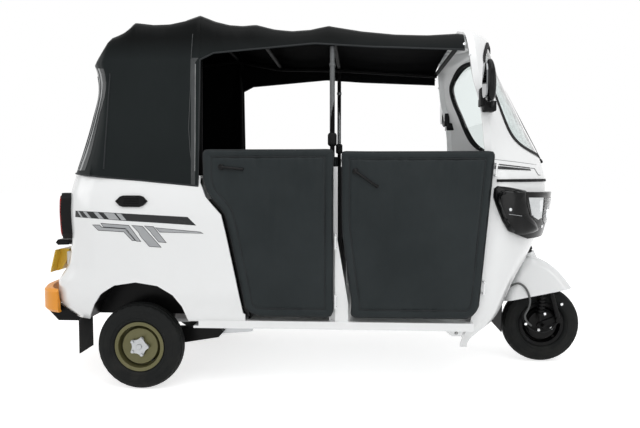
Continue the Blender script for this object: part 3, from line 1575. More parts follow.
@dataclass
class PaddedDoor:
    """One pair of padded half doors, right and left, with seams and latch lever."""

    name: str
    corners: list[tuple[float, float, float]]
    lever_at: tuple[float, float]
    lever_drop: float
    body_right: str
    body_left: str
    plane: float = 640.0
    thick: float = 26.0
    voxel: float = 0.010
    cap: float = 0.007
    border: float = 50.0
    lever_length: float = 95.0
    lever_radius: float = 0.0058
    lever_bends: tuple = ((0.0, 12, 0.0), (0.3, 13, 0.3), (0.7, 11, 0.72), (1.0, 9, 1.0))
    lever_tip_size: tuple = (0.0072, 0.014, 0.003, 16)
    boss_size: tuple = (0.013, 0.016, 0.003, 28)
    boss_cap_size: tuple = (0.007, 0.005, 0.0015, 20)
    seam_radius: float = 0.0026
    rim_inset: float = 4.5
    rim_radius: float = 0.0030
    roll: float = 5.0
    seam_sink: float = 4.0
    pillow: float = 2.6
    slack: float = 3.4

    def outline(self, inset: float) -> list[tuple[float, float]]:
        """The door's outline with rounded corners, moved inward.

        Args:
            inset: How far in, in millimetres.

        Returns:
            Points across and up, in millimetres.
        """
        count = len(self.corners)
        shape = [Vector((x, z)) for x, z, _ in self.corners]
        moved = []
        for index, point in enumerate(shape):
            before = (point - shape[index - 1]).normalized()
            after = (shape[(index + 1) % count] - point).normalized()
            inward = (Vector((before.y, -before.x)) + Vector((after.y, -after.x))).normalized()
            half = math.sqrt(max(0.1, (1 + before.dot(after)) / 2))
            moved.append(point + inward * (inset / half))
        points = []
        for index, point in enumerate(moved):
            radius = max(4.0, self.corners[index][2] - inset * 0.5)
            before = (moved[index - 1] - point)
            after = (moved[(index + 1) % count] - point)
            cut = min(radius, before.length * 0.45, after.length * 0.45)
            start, end = point + before.normalized() * cut, point + after.normalized() * cut
            for step in range(6):
                t = step / 5
                points.append(tuple(start * (1 - t) ** 2 + point * 2 * t * (1 - t) + end * t ** 2))
        return points

    def build(self) -> None:
        """Makes the right door's pieces and their mirror images."""
        panel = self.panel()
        pieces = [(panel, "pad", "black_vinyl")]
        for number, item in enumerate(self.seams(panel)):
            pieces.append((item, "seam_%d" % (number + 1), "thread"))
        pieces.append((self.lever(), "latch", "black_plastic"))
        for item, label, finish in pieces:
            twin = Bench.twin(item)
            for piece, side, body in ((item, "right", self.body_right), (twin, "left", self.body_left)):
                stands = ["%s_door_%s" % (self.name, side)] if label == "pad" else []
                Bench.keep(piece, "%s_door_%s_%s" % (self.name, side, label), body, finish, stands, smooth=60)

    def panel(self) -> bpy.types.Object:
        """Makes the stuffed cover: a rolled border round a flatter middle.

        Returns:
            The new object.
        """
        item = Bench.prism(self.name + "_door_cover", self.outline(4.0), -self.plane + 4.0,
                           -self.plane + self.thick - 3.0)
        Padding.stuff(item, self.voxel, self.cap)
        self.shape_cover(item)
        return item

    def shape_cover(self, item: bpy.types.Object) -> None:
        """Rolls the border, sinks the seam and pulls slack folds into the cover.

        Args:
            item: The stuffed cover.
        """
        ring = [Vector((x, 0, z)) / 1000 + Vector((AXLE_BACK, 0, 0)) for x, z in self.outline(0.0)]
        edges = list(zip(ring, ring[1:] + ring[:1]))
        face = -(self.plane - 7.0) / 1000
        for vertex in item.data.vertices:
            if vertex.co.y > face:
                continue
            flat = Vector((vertex.co.x, 0, vertex.co.z))
            reach = 1e9
            for start, end in edges:
                way = end - start
                share = max(0.0, min(1.0, (flat - start).dot(way) / way.length_squared))
                reach = min(reach, (flat - start - way * share).length)
            depth = reach * 1000
            roll = self.roll * math.sin(math.pi * depth / self.border) if depth < self.border else 0.0
            seam = -self.seam_sink * math.exp(-((depth - self.border) / 6.0) ** 2)
            inner = max(0.0, min(1.0, (depth - self.border) / 90.0))
            x, z = vertex.co.x * 1000, vertex.co.z * 1000
            slack = noise.fractal(Vector((x / 130, 1.7, z / 260)), 0.8, 2.0, 3)
            pull = noise.noise(Vector((x / 24, 5.3, z / 150))) * math.exp(-((depth - self.border) / 40) ** 2)
            pillow = self.pillow * inner * (1 - inner * 0.5) + self.slack * (slack * inner + pull)
            vertex.co.y -= (roll + seam + pillow) / 1000
        item.data.update()

    def seams(self, panel: bpy.types.Object) -> list[bpy.types.Object]:
        """Makes the piping that frames the middle of the cover and the bead round its rim.

        Args:
            panel: The stuffed cover.

        Returns:
            The new objects.
        """
        tree = tree_of(panel.data)
        made = []
        for inset, radius in ((self.border, self.seam_radius), (self.rim_inset, self.rim_radius)):
            line = []
            for x, z in self.outline(inset):
                hit = tree.ray_cast(spot(x, -ASIDE, z), Vector((0, 1, 0)))[0]
                if hit is None:
                    hit = tree.find_nearest(spot(x, -self.plane, z))[0]
                line.append(hit)
            made.append(Bench.cord_mesh(line, radius, closed=True, sides=2))
        return made

    def lever(self) -> bpy.types.Object:
        """Makes the latch lever: a round boss with a slim flattened handle."""
        x, z = self.lever_at
        out = Vector((0, -1, 0))
        boss = Bench.disc(spot(x, -self.plane - 6, z), out, *self.boss_size)
        cap = Bench.disc(spot(x, -self.plane - 15, z), out, *self.boss_cap_size)
        line = [spot(x + self.lever_length * along, -self.plane - proud, z - self.lever_drop * down)
                for along, proud, down in self.lever_bends]
        handle = Bench.cord_mesh(line, self.lever_radius, sides=4)
        tip = Bench.disc(line[-1], (line[-1] - line[-2]).normalized(), *self.lever_tip_size)
        return Bench.join([boss, cap, handle, tip])


# Wheels

@dataclass
class Wheel:
    """The tyre and hub of one wheel."""

    name: str
    body: str
    centre_x: float
    centre_y: float
    outward: float
    tyre_node: str
    radius: float = 203.0
    width: float = 100.0
    bead: float = 105.0
    side_shares: tuple = ((119, 0.66), (121, 0.78), (128, 0.90), (134, 0.95), (135.5, 0.93), (137, 0.965),
                          (150, 0.99), (163, 0.985), (165, 0.96), (167, 0.97), (178, 0.90), (188, 0.80))
    tread_shares: tuple = ((0.76, 0), (0.56, 0), (0.545, 1), (0.47, 1), (0.455, 0), (0.22, 0), (0.205, 1),
                           (0.13, 1), (0.115, 0), (0.0, 0))
    crown_drop: float = 11.0
    groove: float = 6.0
    turns: int = 96
    lug_from: float = 184.0
    lug_band: tuple = (24.0, 41.0)
    lug_every: int = 3
    lug_sink: float = 0.004
    hub_face: float = 0.034
    hub_radius: float = 0.040
    hub_depth: float = 0.016
    lobes: int = 5
    nut_ring: float = 0.039
    nut_proud: float = 0.010
    nut_size: tuple = (0.0075, 0.009, 0.0015, 6)
    cap_proud: float = 0.007
    cap_size: tuple = (0.013, 0.012, 0.003, 24)
    valve_place: tuple = (0.062, 0.0, -0.062)
    valve_proud: float = 0.026
    valve_size: tuple = (0.0045, 0.030, 0.001, 12)
    insets: tuple = ((0.005, 0.003), (0.012, 0.0), (0.004, -0.005))

    def build(self) -> None:
        """Makes the tyre with its tread and the hub with its nuts."""
        self.build_tyre()
        self.build_hub()

    def build_tyre(self) -> None:
        """Spins the tyre's section round the axle and cuts its tread."""
        half = self.width / 2
        side = [(self.bead + 1, half * 0.60)] + [(r, half * share) for r, share in self.side_shares]
        tread = []
        for across, low in self.tread_shares:
            crown = self.radius - self.crown_drop * (across / 0.8) ** 2.4
            tread.append((crown - (self.groove if low else 0.0), half * across))
        profile = side + tread
        profile = profile + [(r, -y) for r, y in reversed(profile[:-1])]
        profile += [(self.bead + 2, 0.0)]
        count, turns = len(profile), self.turns
        centre = spot(self.centre_x, self.centre_y, self.radius)
        Bench.clear()
        item = Bench.from_faces("tyre", [centre + Vector((r / 1000, y / 1000, 0)) for r, y in profile], [])
        mesh = bmesh.new()
        mesh.from_mesh(item.data)
        mesh.verts.ensure_lookup_table()
        loop = [mesh.edges.new((mesh.verts[i], mesh.verts[(i + 1) % count])) for i in range(count)]
        bmesh.ops.spin(mesh, geom=list(mesh.verts) + loop, cent=centre, axis=(0, 1, 0), angle=math.tau,
                       steps=turns, use_merge=True)
        bmesh.ops.remove_doubles(mesh, verts=mesh.verts, dist=WELD)
        bmesh.ops.recalc_face_normals(mesh, faces=mesh.faces)
        for vertex in mesh.verts:
            out = vertex.co - centre
            reach = math.hypot(out.x, out.z) * 1000
            across = abs(out.y) * 1000
            if reach > self.lug_from and self.lug_band[0] < across < self.lug_band[1]:
                angle = math.atan2(out.z, out.x)
                step = int(round(angle / math.tau * turns))
                if step % self.lug_every == 0:
                    pull = 1 - self.lug_sink / math.hypot(out.x, out.z)
                    vertex.co.x, vertex.co.z = centre.x + out.x * pull, centre.z + out.z * pull
        mesh.to_mesh(item.data)
        mesh.free()
        Bench.keep(item, self.name + "_tyre_tread", self.body, "tyre_rubber", [self.tyre_node], smooth=38)

    def build_hub(self) -> None:
        """Makes the five-lobed hub cap, its nuts and the valve."""
        out = Vector((0, self.outward, 0))
        centre = spot(self.centre_x, self.centre_y, self.radius)
        face = centre + out * self.hub_face
        Bench.clear()
        bpy.ops.mesh.primitive_cylinder_add(vertices=60, radius=self.hub_radius, depth=self.hub_depth)
        item = bpy.context.object
        for vertex in item.data.vertices:
            angle = math.atan2(vertex.co.y, vertex.co.x)
            wave = math.cos(self.lobes * angle)
            reach = 1.0 + 0.24 * max(0.0, wave) ** 0.8 - 0.10 * max(0.0, -wave)
            vertex.co.x *= reach
            vertex.co.y *= reach
        for polygon in item.data.polygons:
            polygon.select = polygon.normal.z > 0.9
        bpy.ops.object.mode_set(mode="EDIT")
        bpy.ops.mesh.select_mode(type="FACE")
        for thickness, depth in self.insets:
            bpy.ops.mesh.inset(thickness=thickness, depth=depth)
        bpy.ops.object.mode_set(mode="OBJECT")
        turn = Vector((0, 0, 1)).rotation_difference(out).to_matrix().to_4x4()
        item.data.transform(Matrix.Translation(face) @ turn)
        parts = [item]
        for number in range(self.lobes):
            angle = math.tau * number / self.lobes
            place = Vector((math.cos(angle), 0, math.sin(angle))) * self.nut_ring
            parts.append(Bench.disc(face + place + out * self.nut_proud, out, *self.nut_size))
        parts.append(Bench.disc(face + out * self.cap_proud, out, *self.cap_size))
        Bench.keep(Bench.join(parts), self.name + "_hub_cap", self.body, "bare_steel")
        stem = centre + Vector(self.valve_place) + out * self.valve_proud
        valve = Bench.disc(stem, out, *self.valve_size)
        Bench.keep(valve, self.name + "_valve", self.body, "black_rubber")


# Mirrors, poles and hose

@dataclass
class Mirrors:
    """The two door mirrors, each a tapered head with its glass on a bracket."""

    centre_y: float = 718.0
    rows: tuple = ((1312, 1571, 1578, 14), (1317, 1562, 1588, 34), (1332, 1556, 1594, 48),
                   (1370, 1552, 1597, 56), (1412, 1551, 1596, 58), (1448, 1553, 1591, 55),
                   (1472, 1556, 1585, 46), (1487, 1559, 1579, 32), (1493, 1562, 1574, 14))
    around: int = 32
    glass_around: int = 40
    glass_middle: float = 1404.0
    glass_tall: float = 74.0
    glass_wide: float = 49.0
    glass_planes: tuple = (1549.5, 1556.0)
    upper_block: tuple = ((1553, -640, 1306), (1583, -560, 1386), 0.004)
    lower_block: tuple = ((1566, -648, 1281), (1618, -558, 1326), 0.005)
    arm_route: tuple = ((1597, -640, 1302), (1594, -672, 1308), (1584, -698, 1326), (1575, -716, 1352))
    arm_radius: float = 0.009

    def build(self) -> None:
        """Makes the right mirror's pieces and their mirror images."""
        pieces = ((self.head(), "mirror_head", "black_plastic", ["mirrors"]),
                  (self.glass(), "mirror_glass", "mirror_silver", []),
                  (self.bracket(), "mirror_bracket", "matte_black", []))
        for item, name, finish, stands in pieces:
            Bench.keep_pair(item, name, "chassis", finish, stands, smooth=50)

    def head(self) -> bpy.types.Object:
        """Lofts the head through rounded sections, one above the other.

        Returns:
            The new object.
        """
        points = []
        for height, rear, front, half in self.rows:
            middle, deep = (rear + front) / 2, (front - rear) / 2
            for step in range(self.around):
                turn = math.tau * step / self.around
                along, aside = blunt(math.cos(turn), 0.75), blunt(math.sin(turn), 0.75)
                points.append(spot(middle + deep * along, -self.centre_y + half * aside, height))
        faces = [tuple(range(self.around))]
        last = (len(self.rows) - 1) * self.around
        faces.append(tuple(range(last, last + self.around)))
        for row in range(len(self.rows) - 1):
            for step in range(self.around):
                start, after = row * self.around + step, row * self.around + (step + 1) % self.around
                faces.append((start, after, after + self.around, start + self.around))
        item = Bench.from_faces("head", points, faces)
        Bench.outward(item)
        finer = item.modifiers.new("finer", "SUBSURF")
        finer.levels = 1
        finer.render_levels = 1
        Bench.apply(item)
        return item

    def glass(self) -> bpy.types.Object:
        """Makes the glass, a rounded plate let into the head's rear face.

        Returns:
            The new object.
        """
        count = self.glass_around
        points = []
        for x in self.glass_planes:
            for step in range(count):
                turn = math.tau * step / count
                across, rise = blunt(math.cos(turn), 0.7), blunt(math.sin(turn), 0.7)
                points.append(spot(x, -self.centre_y + self.glass_wide * across,
                                   self.glass_middle + self.glass_tall * rise))
        faces = [tuple(range(count)), tuple(range(count, 2 * count))]
        faces += [(i, (i + 1) % count, (i + 1) % count + count, i + count) for i in range(count)]
        item = Bench.from_faces("glass", points, faces)
        Bench.outward(item)
        return item

    def bracket(self) -> bpy.types.Object:
        """Makes the two bracket blocks on the pillar and the bent arm that carries the head.

        Returns:
            The new object.
        """
        sizes = (self.upper_block, self.lower_block)
        blocks = [Bench.slab(spot(*low), spot(*high), rim) for low, high, rim in sizes]
        arm = Bench.cord_mesh([spot(*point) for point in self.arm_route], self.arm_radius, sides=4)
        return Bench.join(blocks + [arm])


@dataclass
class Poles:
    """Bright sleeves, collars and boots on the centre poles of the soft top's frame."""

    foot: float = 1.140
    head: float = 1.590
    collar_height: float = 1.508
    boot_height: float = 1.166
    pole_view: tuple = (332.2, 100.0)
    sleeve: float = 0.0008
    collar_size: tuple = (0.0035, 0.016, 0.002)
    boot_size: tuple = (0.010, 0.062, 0.012)

    def build(self) -> None:
        """Makes the sleeves, the collars and the boots on both sides."""
        skin = Skin("canopy_frame")
        hit = SIGHT.on(skin, *self.pole_view)
        far = skin.first(hit[0] + Vector((0, 0.2, 0)), Vector((0, -1, 0)))
        middle = (hit[0] + far[0]) / 2
        radius = (far[0].y - hit[0].y) / 2
        x, up = middle.x, Vector((0, 0, 1))
        for label, side in (("right", -1.0), ("left", 1.0)):
            y = abs(middle.y) * side
            sleeve = Bench.cord_mesh([Vector((x, y, self.foot)), Vector((x, y, self.head))],
                                     radius + self.sleeve, sides=6, smooth=False)
            grow, deep, rim = self.collar_size
            collar = Bench.disc(Vector((x, y, self.collar_height)), up, radius + grow, deep, rim, 28)
            Bench.keep(Bench.join([sleeve, collar]), "centre_pole_" + label, "chassis", "post_grey")
            grow, deep, rim = self.boot_size
            boot = Bench.disc(Vector((x, y, self.boot_height)), up, radius + grow, deep, rim, 28)
            Bench.keep(boot, "centre_pole_boot_" + label, "chassis", "black_rubber")


@dataclass
class FrontWheelParts:
    """The brake hose, the bright nuts and the curved bar by the front wheel."""

    hose_radius: float = 0.0056
    hose_route: tuple = ((1810, -117, 417), (1833, -119, 433), (1862, -120, 438), (1893, -119, 415),
                         (1912, -117, 378), (1921, -113, 338), (1912, -108, 298), (1893, -102, 262),
                         (1908, -92, 226), (1937, -76, 203))
    nut_places: tuple = ((2047, -54, 186), (1982, -54, 176), (2001, -92, 271), (2096, -66, 318),
                         (1906, -84, 214))
    nut_size: tuple = (0.0085, 0.010, 0.0018, 6)
    bar_radius: float = 0.0045
    bar_route: tuple = ((1890, -72, 250), (1902, -80, 214), (1940, -84, 178), (1995, -84, 166),
                        (2050, -82, 190), (2096, -72, 250))

    def build(self) -> None:
        """Makes the small parts that turn with the fork."""
        hose = Bench.cord_mesh([spot(*point) for point in self.hose_route], self.hose_radius, sides=5)
        Bench.keep(hose, "brake_hose_tube", "steering", "hose_grey", ["brake_hose"], smooth=60)
        out = Vector((0, -1, 0))
        nuts = [Bench.disc(spot(*place), out, *self.nut_size) for place in self.nut_places]
        Bench.keep(Bench.join(nuts), "front_link_nuts", "steering", "chrome")
        bar = Bench.cord_mesh([spot(*point) for point in self.bar_route], self.bar_radius, sides=4)
        Bench.keep(bar, "front_link_bar", "steering", "black_plastic")


# Prints and small fittings

@dataclass
class Prints:
    """Stripes laid on the body's skin."""

    rear: RearBody | None = None
    proud: float = 0.0006
    slash_proud: float = 0.0011
    view_cell: float = 2.5
    arrow_edge: float = 0.55
    band_view: tuple = ((75.6, 210.7), (187.5, 217), (196.2, 225.5), (160, 223), (122.5, 220.7), (75.4, 217))
    slashes_view: tuple = (
        ((77.5, 211.2), (79, 211.3), (83, 217.4), (81.3, 217.3)),
        ((83, 211.5), (86.3, 211.7), (91.5, 218), (88.3, 217.8)),
        ((93.5, 212.1), (98, 212.4), (104, 218.9), (99.2, 218.6)),
        ((103.5, 212.7), (114, 213.3), (119.5, 219.9), (109.2, 219.3)),
        ((116, 213.4), (121, 213.7), (126.5, 220.4), (121.5, 220.1)),
    )
    arrows_view: tuple = (
        ((101.5, 223.6), (128.5, 225.6), (140.3, 241.2), (136.5, 240.9), (126, 228.2), (103.5, 226.6)),
        ((93.3, 225.1), (99.5, 225.3), (101.8, 227.6), (125, 229.2), (134.8, 240.4), (132.2, 240.2),
         (124, 231.6), (98.5, 230)),
        ((132.5, 225.7), (142.3, 226.5), (160.6, 247), (149.5, 246.2), (140.5, 235.7), (139, 232.3)),
        ((145, 226.2), (153.4, 227), (165.7, 242.4), (159, 241.7), (152.6, 234.3), (150.8, 231.6)),
        ((156.2, 228), (200.2, 232.3), (202.6, 233.4), (160, 231.8)),
    )

    def seen(self, skin: Skin, corners: Sequence[tuple[float, float]]) -> bpy.types.Object | None:
        """Lays one flat shape where the view shows it, on the right side of the body.

        Args:
            skin: The skin that it lies on.
            corners: Its outline across and down the view.

        Returns:
            The new object, or None where it misses the skin.
        """
        mesh = bmesh.new()
        mesh.faces.new([mesh.verts.new((across, 0, down)) for across, down in corners])
        for axis, way in ((0, (1, 0, 0)), (1, (0, 0, 1))):
            low, high = min(c[axis] for c in corners), max(c[axis] for c in corners)
            for step in range(1, int((high - low) / self.view_cell) + 1):
                geometry = mesh.verts[:] + mesh.edges[:] + mesh.faces[:]
                place = Vector(way) * (low + step * self.view_cell)
                bmesh.ops.bisect_plane(mesh, geom=geometry, plane_co=place, plane_no=way)
        for vertex in mesh.verts:
            hit = SIGHT.on(skin, vertex.co.x, vertex.co.z, 3.0)
            if hit is None:
                mesh.free()
                return None
            vertex.co = hit[0] + hit[1] * self.proud
        bmesh.ops.recalc_face_normals(mesh, faces=mesh.faces)
        mesh.faces.ensure_lookup_table()
        if mesh.faces[0].normal.y > 0:
            bmesh.ops.reverse_faces(mesh, faces=mesh.faces)
        item = Bench.from_mesh("print", mesh)
        Bench.wall(item, self.proud * 1.5)
        return item

    def pair(self, name: str, skin: Skin, shapes: Sequence[Sequence[tuple[float, float]]],
             finish: str) -> None:
        """Lays shapes where the view shows them, and their mirror image on the left side.

        Args:
            name: The pieces' name.
            skin: The skin that they lie on.
            shapes: Outlines across and down the view.
            finish: Their finish.
        """
        items = [item for item in (self.seen(skin, shape) for shape in shapes) if item]
        if items:
            Bench.keep_pair(Bench.join(items), name, "chassis", finish)

    @staticmethod
    def grown(shape: Sequence[tuple[float, float]], amount: float) -> list[tuple[float, float]]:
        """An outline moved outward all round.

        Args:
            shape: The outline.
            amount: How far it moves, in points of the view.

        Returns:
            The moved outline.
        """
        corners = [Vector(corner) for corner in shape]
        count = len(corners)
        turn = sum(corners[i - 1].cross(corners[i]) for i in range(count))
        sign = 1.0 if turn > 0 else -1.0
        moved = []
        for index, point in enumerate(corners):
            before = (point - corners[index - 1]).normalized()
            after = (corners[(index + 1) % count] - point).normalized()
            out = Vector((before.y + after.y, -before.x - after.x)).normalized() * sign
            half = max(0.45, math.sqrt(max(0.0, (1 + before.dot(after)) / 2)))
            moved.append(tuple(point + out * (amount / half)))
        return moved

    def build(self) -> None:
        """Lays the side band with its slashes and the silver arrows under it."""
        body = Skin.of(self.rear.made["quarter_panel_right"], self.rear.made["rear_panel"])
        self.pair("side_band", body, [self.band_view], "dark_print")
        lifted = Prints(proud=self.slash_proud)
        lifted.pair("side_band_slashes", body, self.slashes_view, "silver_print")
        edges = [self.grown(shape, self.arrow_edge) for shape in self.arrows_view]
        self.pair("side_arrow_edges", body, edges, "dark_print")
        lifted.pair("side_arrows", body, self.arrows_view, "silver_print")


@dataclass
class NoseTrim:
    """Moulding, stripes, seam and screws on the cowl."""

    stripes_view: tuple = (((494.5, 163.4), (529.6, 167.6), (529.6, 168.4), (494.5, 164.4)),
                           ((494.5, 165.6), (530.0, 169.2), (530.8, 170.6), (494.5, 169.0)))
    hook_view: tuple = ((529.6, 168.1), (534.2, 168.5), (538.2, 175.0), (540.6, 175.2))
    seam_view: tuple = ((494.5, 159.4), (515.0, 161.8), (540.0, 165.2))
    stripe_proud: float = 0.0018
    stripe_cell: float = 1.2
    bead_lift: float = 0.0004
    moulding_height: float = 977.0
    moulding_tall: float = 12.0
    moulding_from: float = 1618.0
    moulding_proud: float = 0.006
    screw_places: tuple = ((1514, 1540), (1528, 1430), (1546, 1330))
    screw_lift: float = 0.001
    screw_size: tuple = (0.006, 0.004, 0.001, 16)

    def ring(self, height: float, from_x: float, proud: float) -> list[Vector]:
        """A line round the cowl's skin at one height.

        Args:
            height: Its height in millimetres.
            from_x: Where it starts on each side.
            proud: How far it stands off the skin.

        Returns:
            Points from the right side round the nose to the left.
        """
        skin = Skin("cowl_shell")
        points = []
        core = spot(1490, 0, height)
        for step in range(121):
            angle = math.radians(-100 + 200 * step / 120)
            way = Vector((math.cos(angle), math.sin(angle), 0))
            hit = skin.first(core + way * 1.5, -way)
            if hit and hit[0].x * 1000 - AXLE_BACK * 1000 > from_x:
                points.append(hit[0] + hit[1] * proud)
        return points

    def moulding(self) -> None:
        """Makes the flat rubber band round the nose."""
        rows = [self.ring(self.moulding_height + self.moulding_tall * up, self.moulding_from,
                          self.moulding_proud) for up in (-0.5, -0.17, 0.17, 0.5)]
        count = min(len(row) for row in rows)
        points = [point for row in rows for point in row[:count]]
        item = Bench.from_faces("nose_moulding", points, Bench.grid(len(rows), count))
        Bench.wall(item, self.moulding_proud * 1.4)
        Bench.outward(item)
        Bench.keep(item, "nose_moulding", "chassis", "black_rubber")

    def build(self) -> None:
        """Makes the nose's trim."""
        cowl = Skin("cowl_shell")
        prints = Prints(proud=self.stripe_proud, view_cell=self.stripe_cell)
        prints.pair("nose_stripe", cowl, self.stripes_view, "dark_print")
        for name, radius, finish, route in (("nose_hook", 0.0016, "dark_print", self.hook_view),
                                            ("nose_seam", 0.0010, "seam_grey", self.seam_view)):
            line = SIGHT.line(cowl, route, 6, self.bead_lift, 1.5)
            Bench.keep_pair(Bench.cord_mesh(line, radius, sides=2, smooth=False), name, "chassis", finish)
        self.moulding()
        screws = []
        for side in (-1.0, 1.0):
            for x, height in self.screw_places:
                hit = cowl.first(spot(x, side * ASIDE, height), Vector((0, -side, 0)))
                if hit:
                    place = hit[0] + hit[1] * self.screw_lift
                    screws.append(Bench.disc(place, hit[1], *self.screw_size))
        if screws:
            Bench.keep(Bench.join(screws), "pillar_screws", "chassis", "bare_steel")


@dataclass
class Lamps:
    """Headlamp bowls, domed side shells, side lenses and repeaters."""

    shell_lift: float = 0.016
    shell_middle: tuple = (513.0, 210.0)
    shell_view: tuple = ((497.3, 185.8), (510, 187.2), (526.5, 190.5), (527.2, 200), (530, 214), (536.5, 223),
                         (539, 230), (534, 232.7), (525, 234.8), (517.3, 235), (508, 231.3), (502, 221),
                         (495.8, 205.8), (492.9, 196.5), (494, 188.4))
    frame_view: tuple = ((526.5, 192.2), (546, 192.6), (547.2, 196), (543.2, 218), (541, 223.5),
                         (536.5, 222.5), (530, 215.5), (527, 204))
    lens_view: tuple = ((528.2, 197.6), (542.8, 197.6), (542.2, 206), (540.9, 217.6), (537.5, 219.6),
                        (531.2, 215.6))
    glint_view: tuple = ((539.2, 200), (542, 200), (541.2, 211), (539, 212))
    repeater_view: tuple = (510.4, 209.6)
    stud_view: tuple = (541.2, 226.2)
    slot_view: tuple = ((508.8, 214.2), (521.9, 216.0))
    shell_wall: float = 0.003
    shell_cells: tuple = (72, 14)
    shell_rounds: int = 40
    shell_sink: float = 0.004
    frame_proud: float = 0.0022
    lens_proud: float = 0.0042
    glint_proud: float = 0.0050
    bowl_radius: float = 0.045
    bowl_wall: float = 0.002
    bowl_back: float = 0.065
    bowl_aside: float = 0.38

    def build(self) -> None:
        """Makes the bowls behind the headlamp lenses, then the side shells."""
        low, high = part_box("headlamp_lenses")
        parts = []
        for side in (-1.0, 1.0):
            middle = Vector((high.x - self.bowl_back, side * self.bowl_aside, (low.z + high.z) / 2))
            parts.append(self.bowl(middle))
        Bench.keep(Bench.join(parts), "headlamp_bowls", "chassis", "chrome")
        self.build_side_shells()

    def build_side_shells(self) -> None:
        """Makes the domed side shells with their lenses, frames, repeaters and studs."""
        skin = Skin("headlamp_housings", "cowl_shell")
        shell = self.side_shell(skin)
        both = Skin("headlamp_housings", "cowl_shell")
        both.trees += Skin.of(shell).trees
        pieces = [(shell, "headlamp_side_shell", "black_plastic")]
        for name, finish, proud, view in (("headlamp_side_frame", "black_plastic", self.frame_proud,
                                           self.frame_view),
                                          ("headlamp_side_lens", "lamp_face", self.lens_proud,
                                           self.lens_view),
                                          ("headlamp_side_glint", "chrome", self.glint_proud,
                                           self.glint_view)):
            pieces.append((Prints(proud=proud).seen(both, view), name, finish))
        for name, finish, lift, deep, view in (("side_repeater", "lamp_face", 0.001, 0.006,
                                                self.repeater_view),
                                               ("headlamp_stud", "chrome", 0.002, 0.008, self.stud_view)):
            hit = SIGHT.on(both, *view)
            pieces.append((Bench.disc(hit[0] + hit[1] * lift, hit[1], 0.0075, deep, 0.002, 24), name, finish))
        line = []
        for step in range(7):
            across, down = (self.slot_view[0][i] + (self.slot_view[1][i] - self.slot_view[0][i]) * step / 6
                            for i in range(2))
            hit = SIGHT.on(both, across, down)
            line.append(hit[0] + hit[1] * 0.0004)
        pieces.append((Bench.cord_mesh(line, 0.0012, sides=2), "side_repeater_slot", "silver_print"))
        for item, name, finish in pieces:
            if item is None:
                LOG.info("missed %s", name)
                continue
            Bench.keep_pair(item, name, "chassis", finish, smooth=50)

    def side_shell(self, skin: Skin) -> bpy.types.Object:
        """Makes the domed shell that fairs the lamp into the cowl's side.

        Args:
            skin: The skin of the cowl and of the lamp's housing.

        Returns:
            The new object.
        """
        edge = [Vector(corner) for corner in self.shell_view]
        lengths = [(edge[(i + 1) % len(edge)] - edge[i]).length for i in range(len(edge))]
        around, rings = self.shell_cells
        middle = Vector(self.shell_middle)
        rim = []
        for step in range(around):
            left = sum(lengths) * step / around
            for index, length in enumerate(lengths):
                if left <= length:
                    rim.append(edge[index].lerp(edge[(index + 1) % len(edge)], left / length))
                    break
                left -= length
        shares = [math.sin(math.pi / 2 * ring / rings) for ring in range(1, rings + 1)]
        views = [middle] + [middle.lerp(corner, share) for share in shares for corner in rim]
        depths = []
        for view in views:
            hit = SIGHT.on(skin, view.x, view.y, 3.0)
            depths.append((hit[0] - SIGHT.eye).length)
        smooth = list(depths)
        for _ in range(self.shell_rounds):
            fresh = list(smooth)
            fresh[0] = sum(smooth[1:1 + around]) / around
            for ring in range(rings - 1):
                for step in range(around):
                    here = 1 + ring * around + step
                    inner = 0 if ring == 0 else here - around
                    after = 1 + ring * around + (step + 1) % around
                    before = 1 + ring * around + (step - 1) % around
                    fresh[here] = (smooth[inner] + smooth[here + around] + smooth[after] + smooth[before]) / 4
            smooth = fresh
        points = []
        for index, view in enumerate(views):
            share = 0.0 if index == 0 else shares[(index - 1) // around]
            lift = self.shell_lift * (1 - share ** 7) ** 0.6 if share < 1 else -self.shell_sink
            depth = min(smooth[index], depths[index]) - lift
            points.append(SIGHT.eye + SIGHT.ray(view.x, view.y) * depth)
        faces = [(0, 1 + step, 1 + (step + 1) % around) for step in range(around)]
        for ring in range(rings - 1):
            for step in range(around):
                start, after = 1 + ring * around + step, 1 + ring * around + (step + 1) % around
                faces.append((start, start + around, after + around, after))
        item = Bench.from_faces("shell", points, faces)
        Bench.outward(item)
        if item.data.polygons[0].normal.y > 0:
            item.data.flip_normals()
        Bench.wall(item, self.shell_wall)
        return item

    def bowl(self, middle: Vector) -> bpy.types.Object:
        """Makes one bright bowl facing forward."""
        Bench.clear()
        bpy.ops.mesh.primitive_uv_sphere_add(segments=32, ring_count=16, radius=self.bowl_radius)
        item = bpy.context.object
        bpy.ops.object.mode_set(mode="EDIT")
        bpy.ops.mesh.select_all(action="SELECT")
        bpy.ops.mesh.bisect(plane_co=(0.01, 0, 0), plane_no=(1, 0, 0), clear_outer=True)
        bpy.ops.object.mode_set(mode="OBJECT")
        item.data.transform(Matrix.Translation(middle) @ Matrix.Diagonal((0.8, 1.25, 1.0, 1.0)))
        Bench.wall(item, self.bowl_wall)
        return item


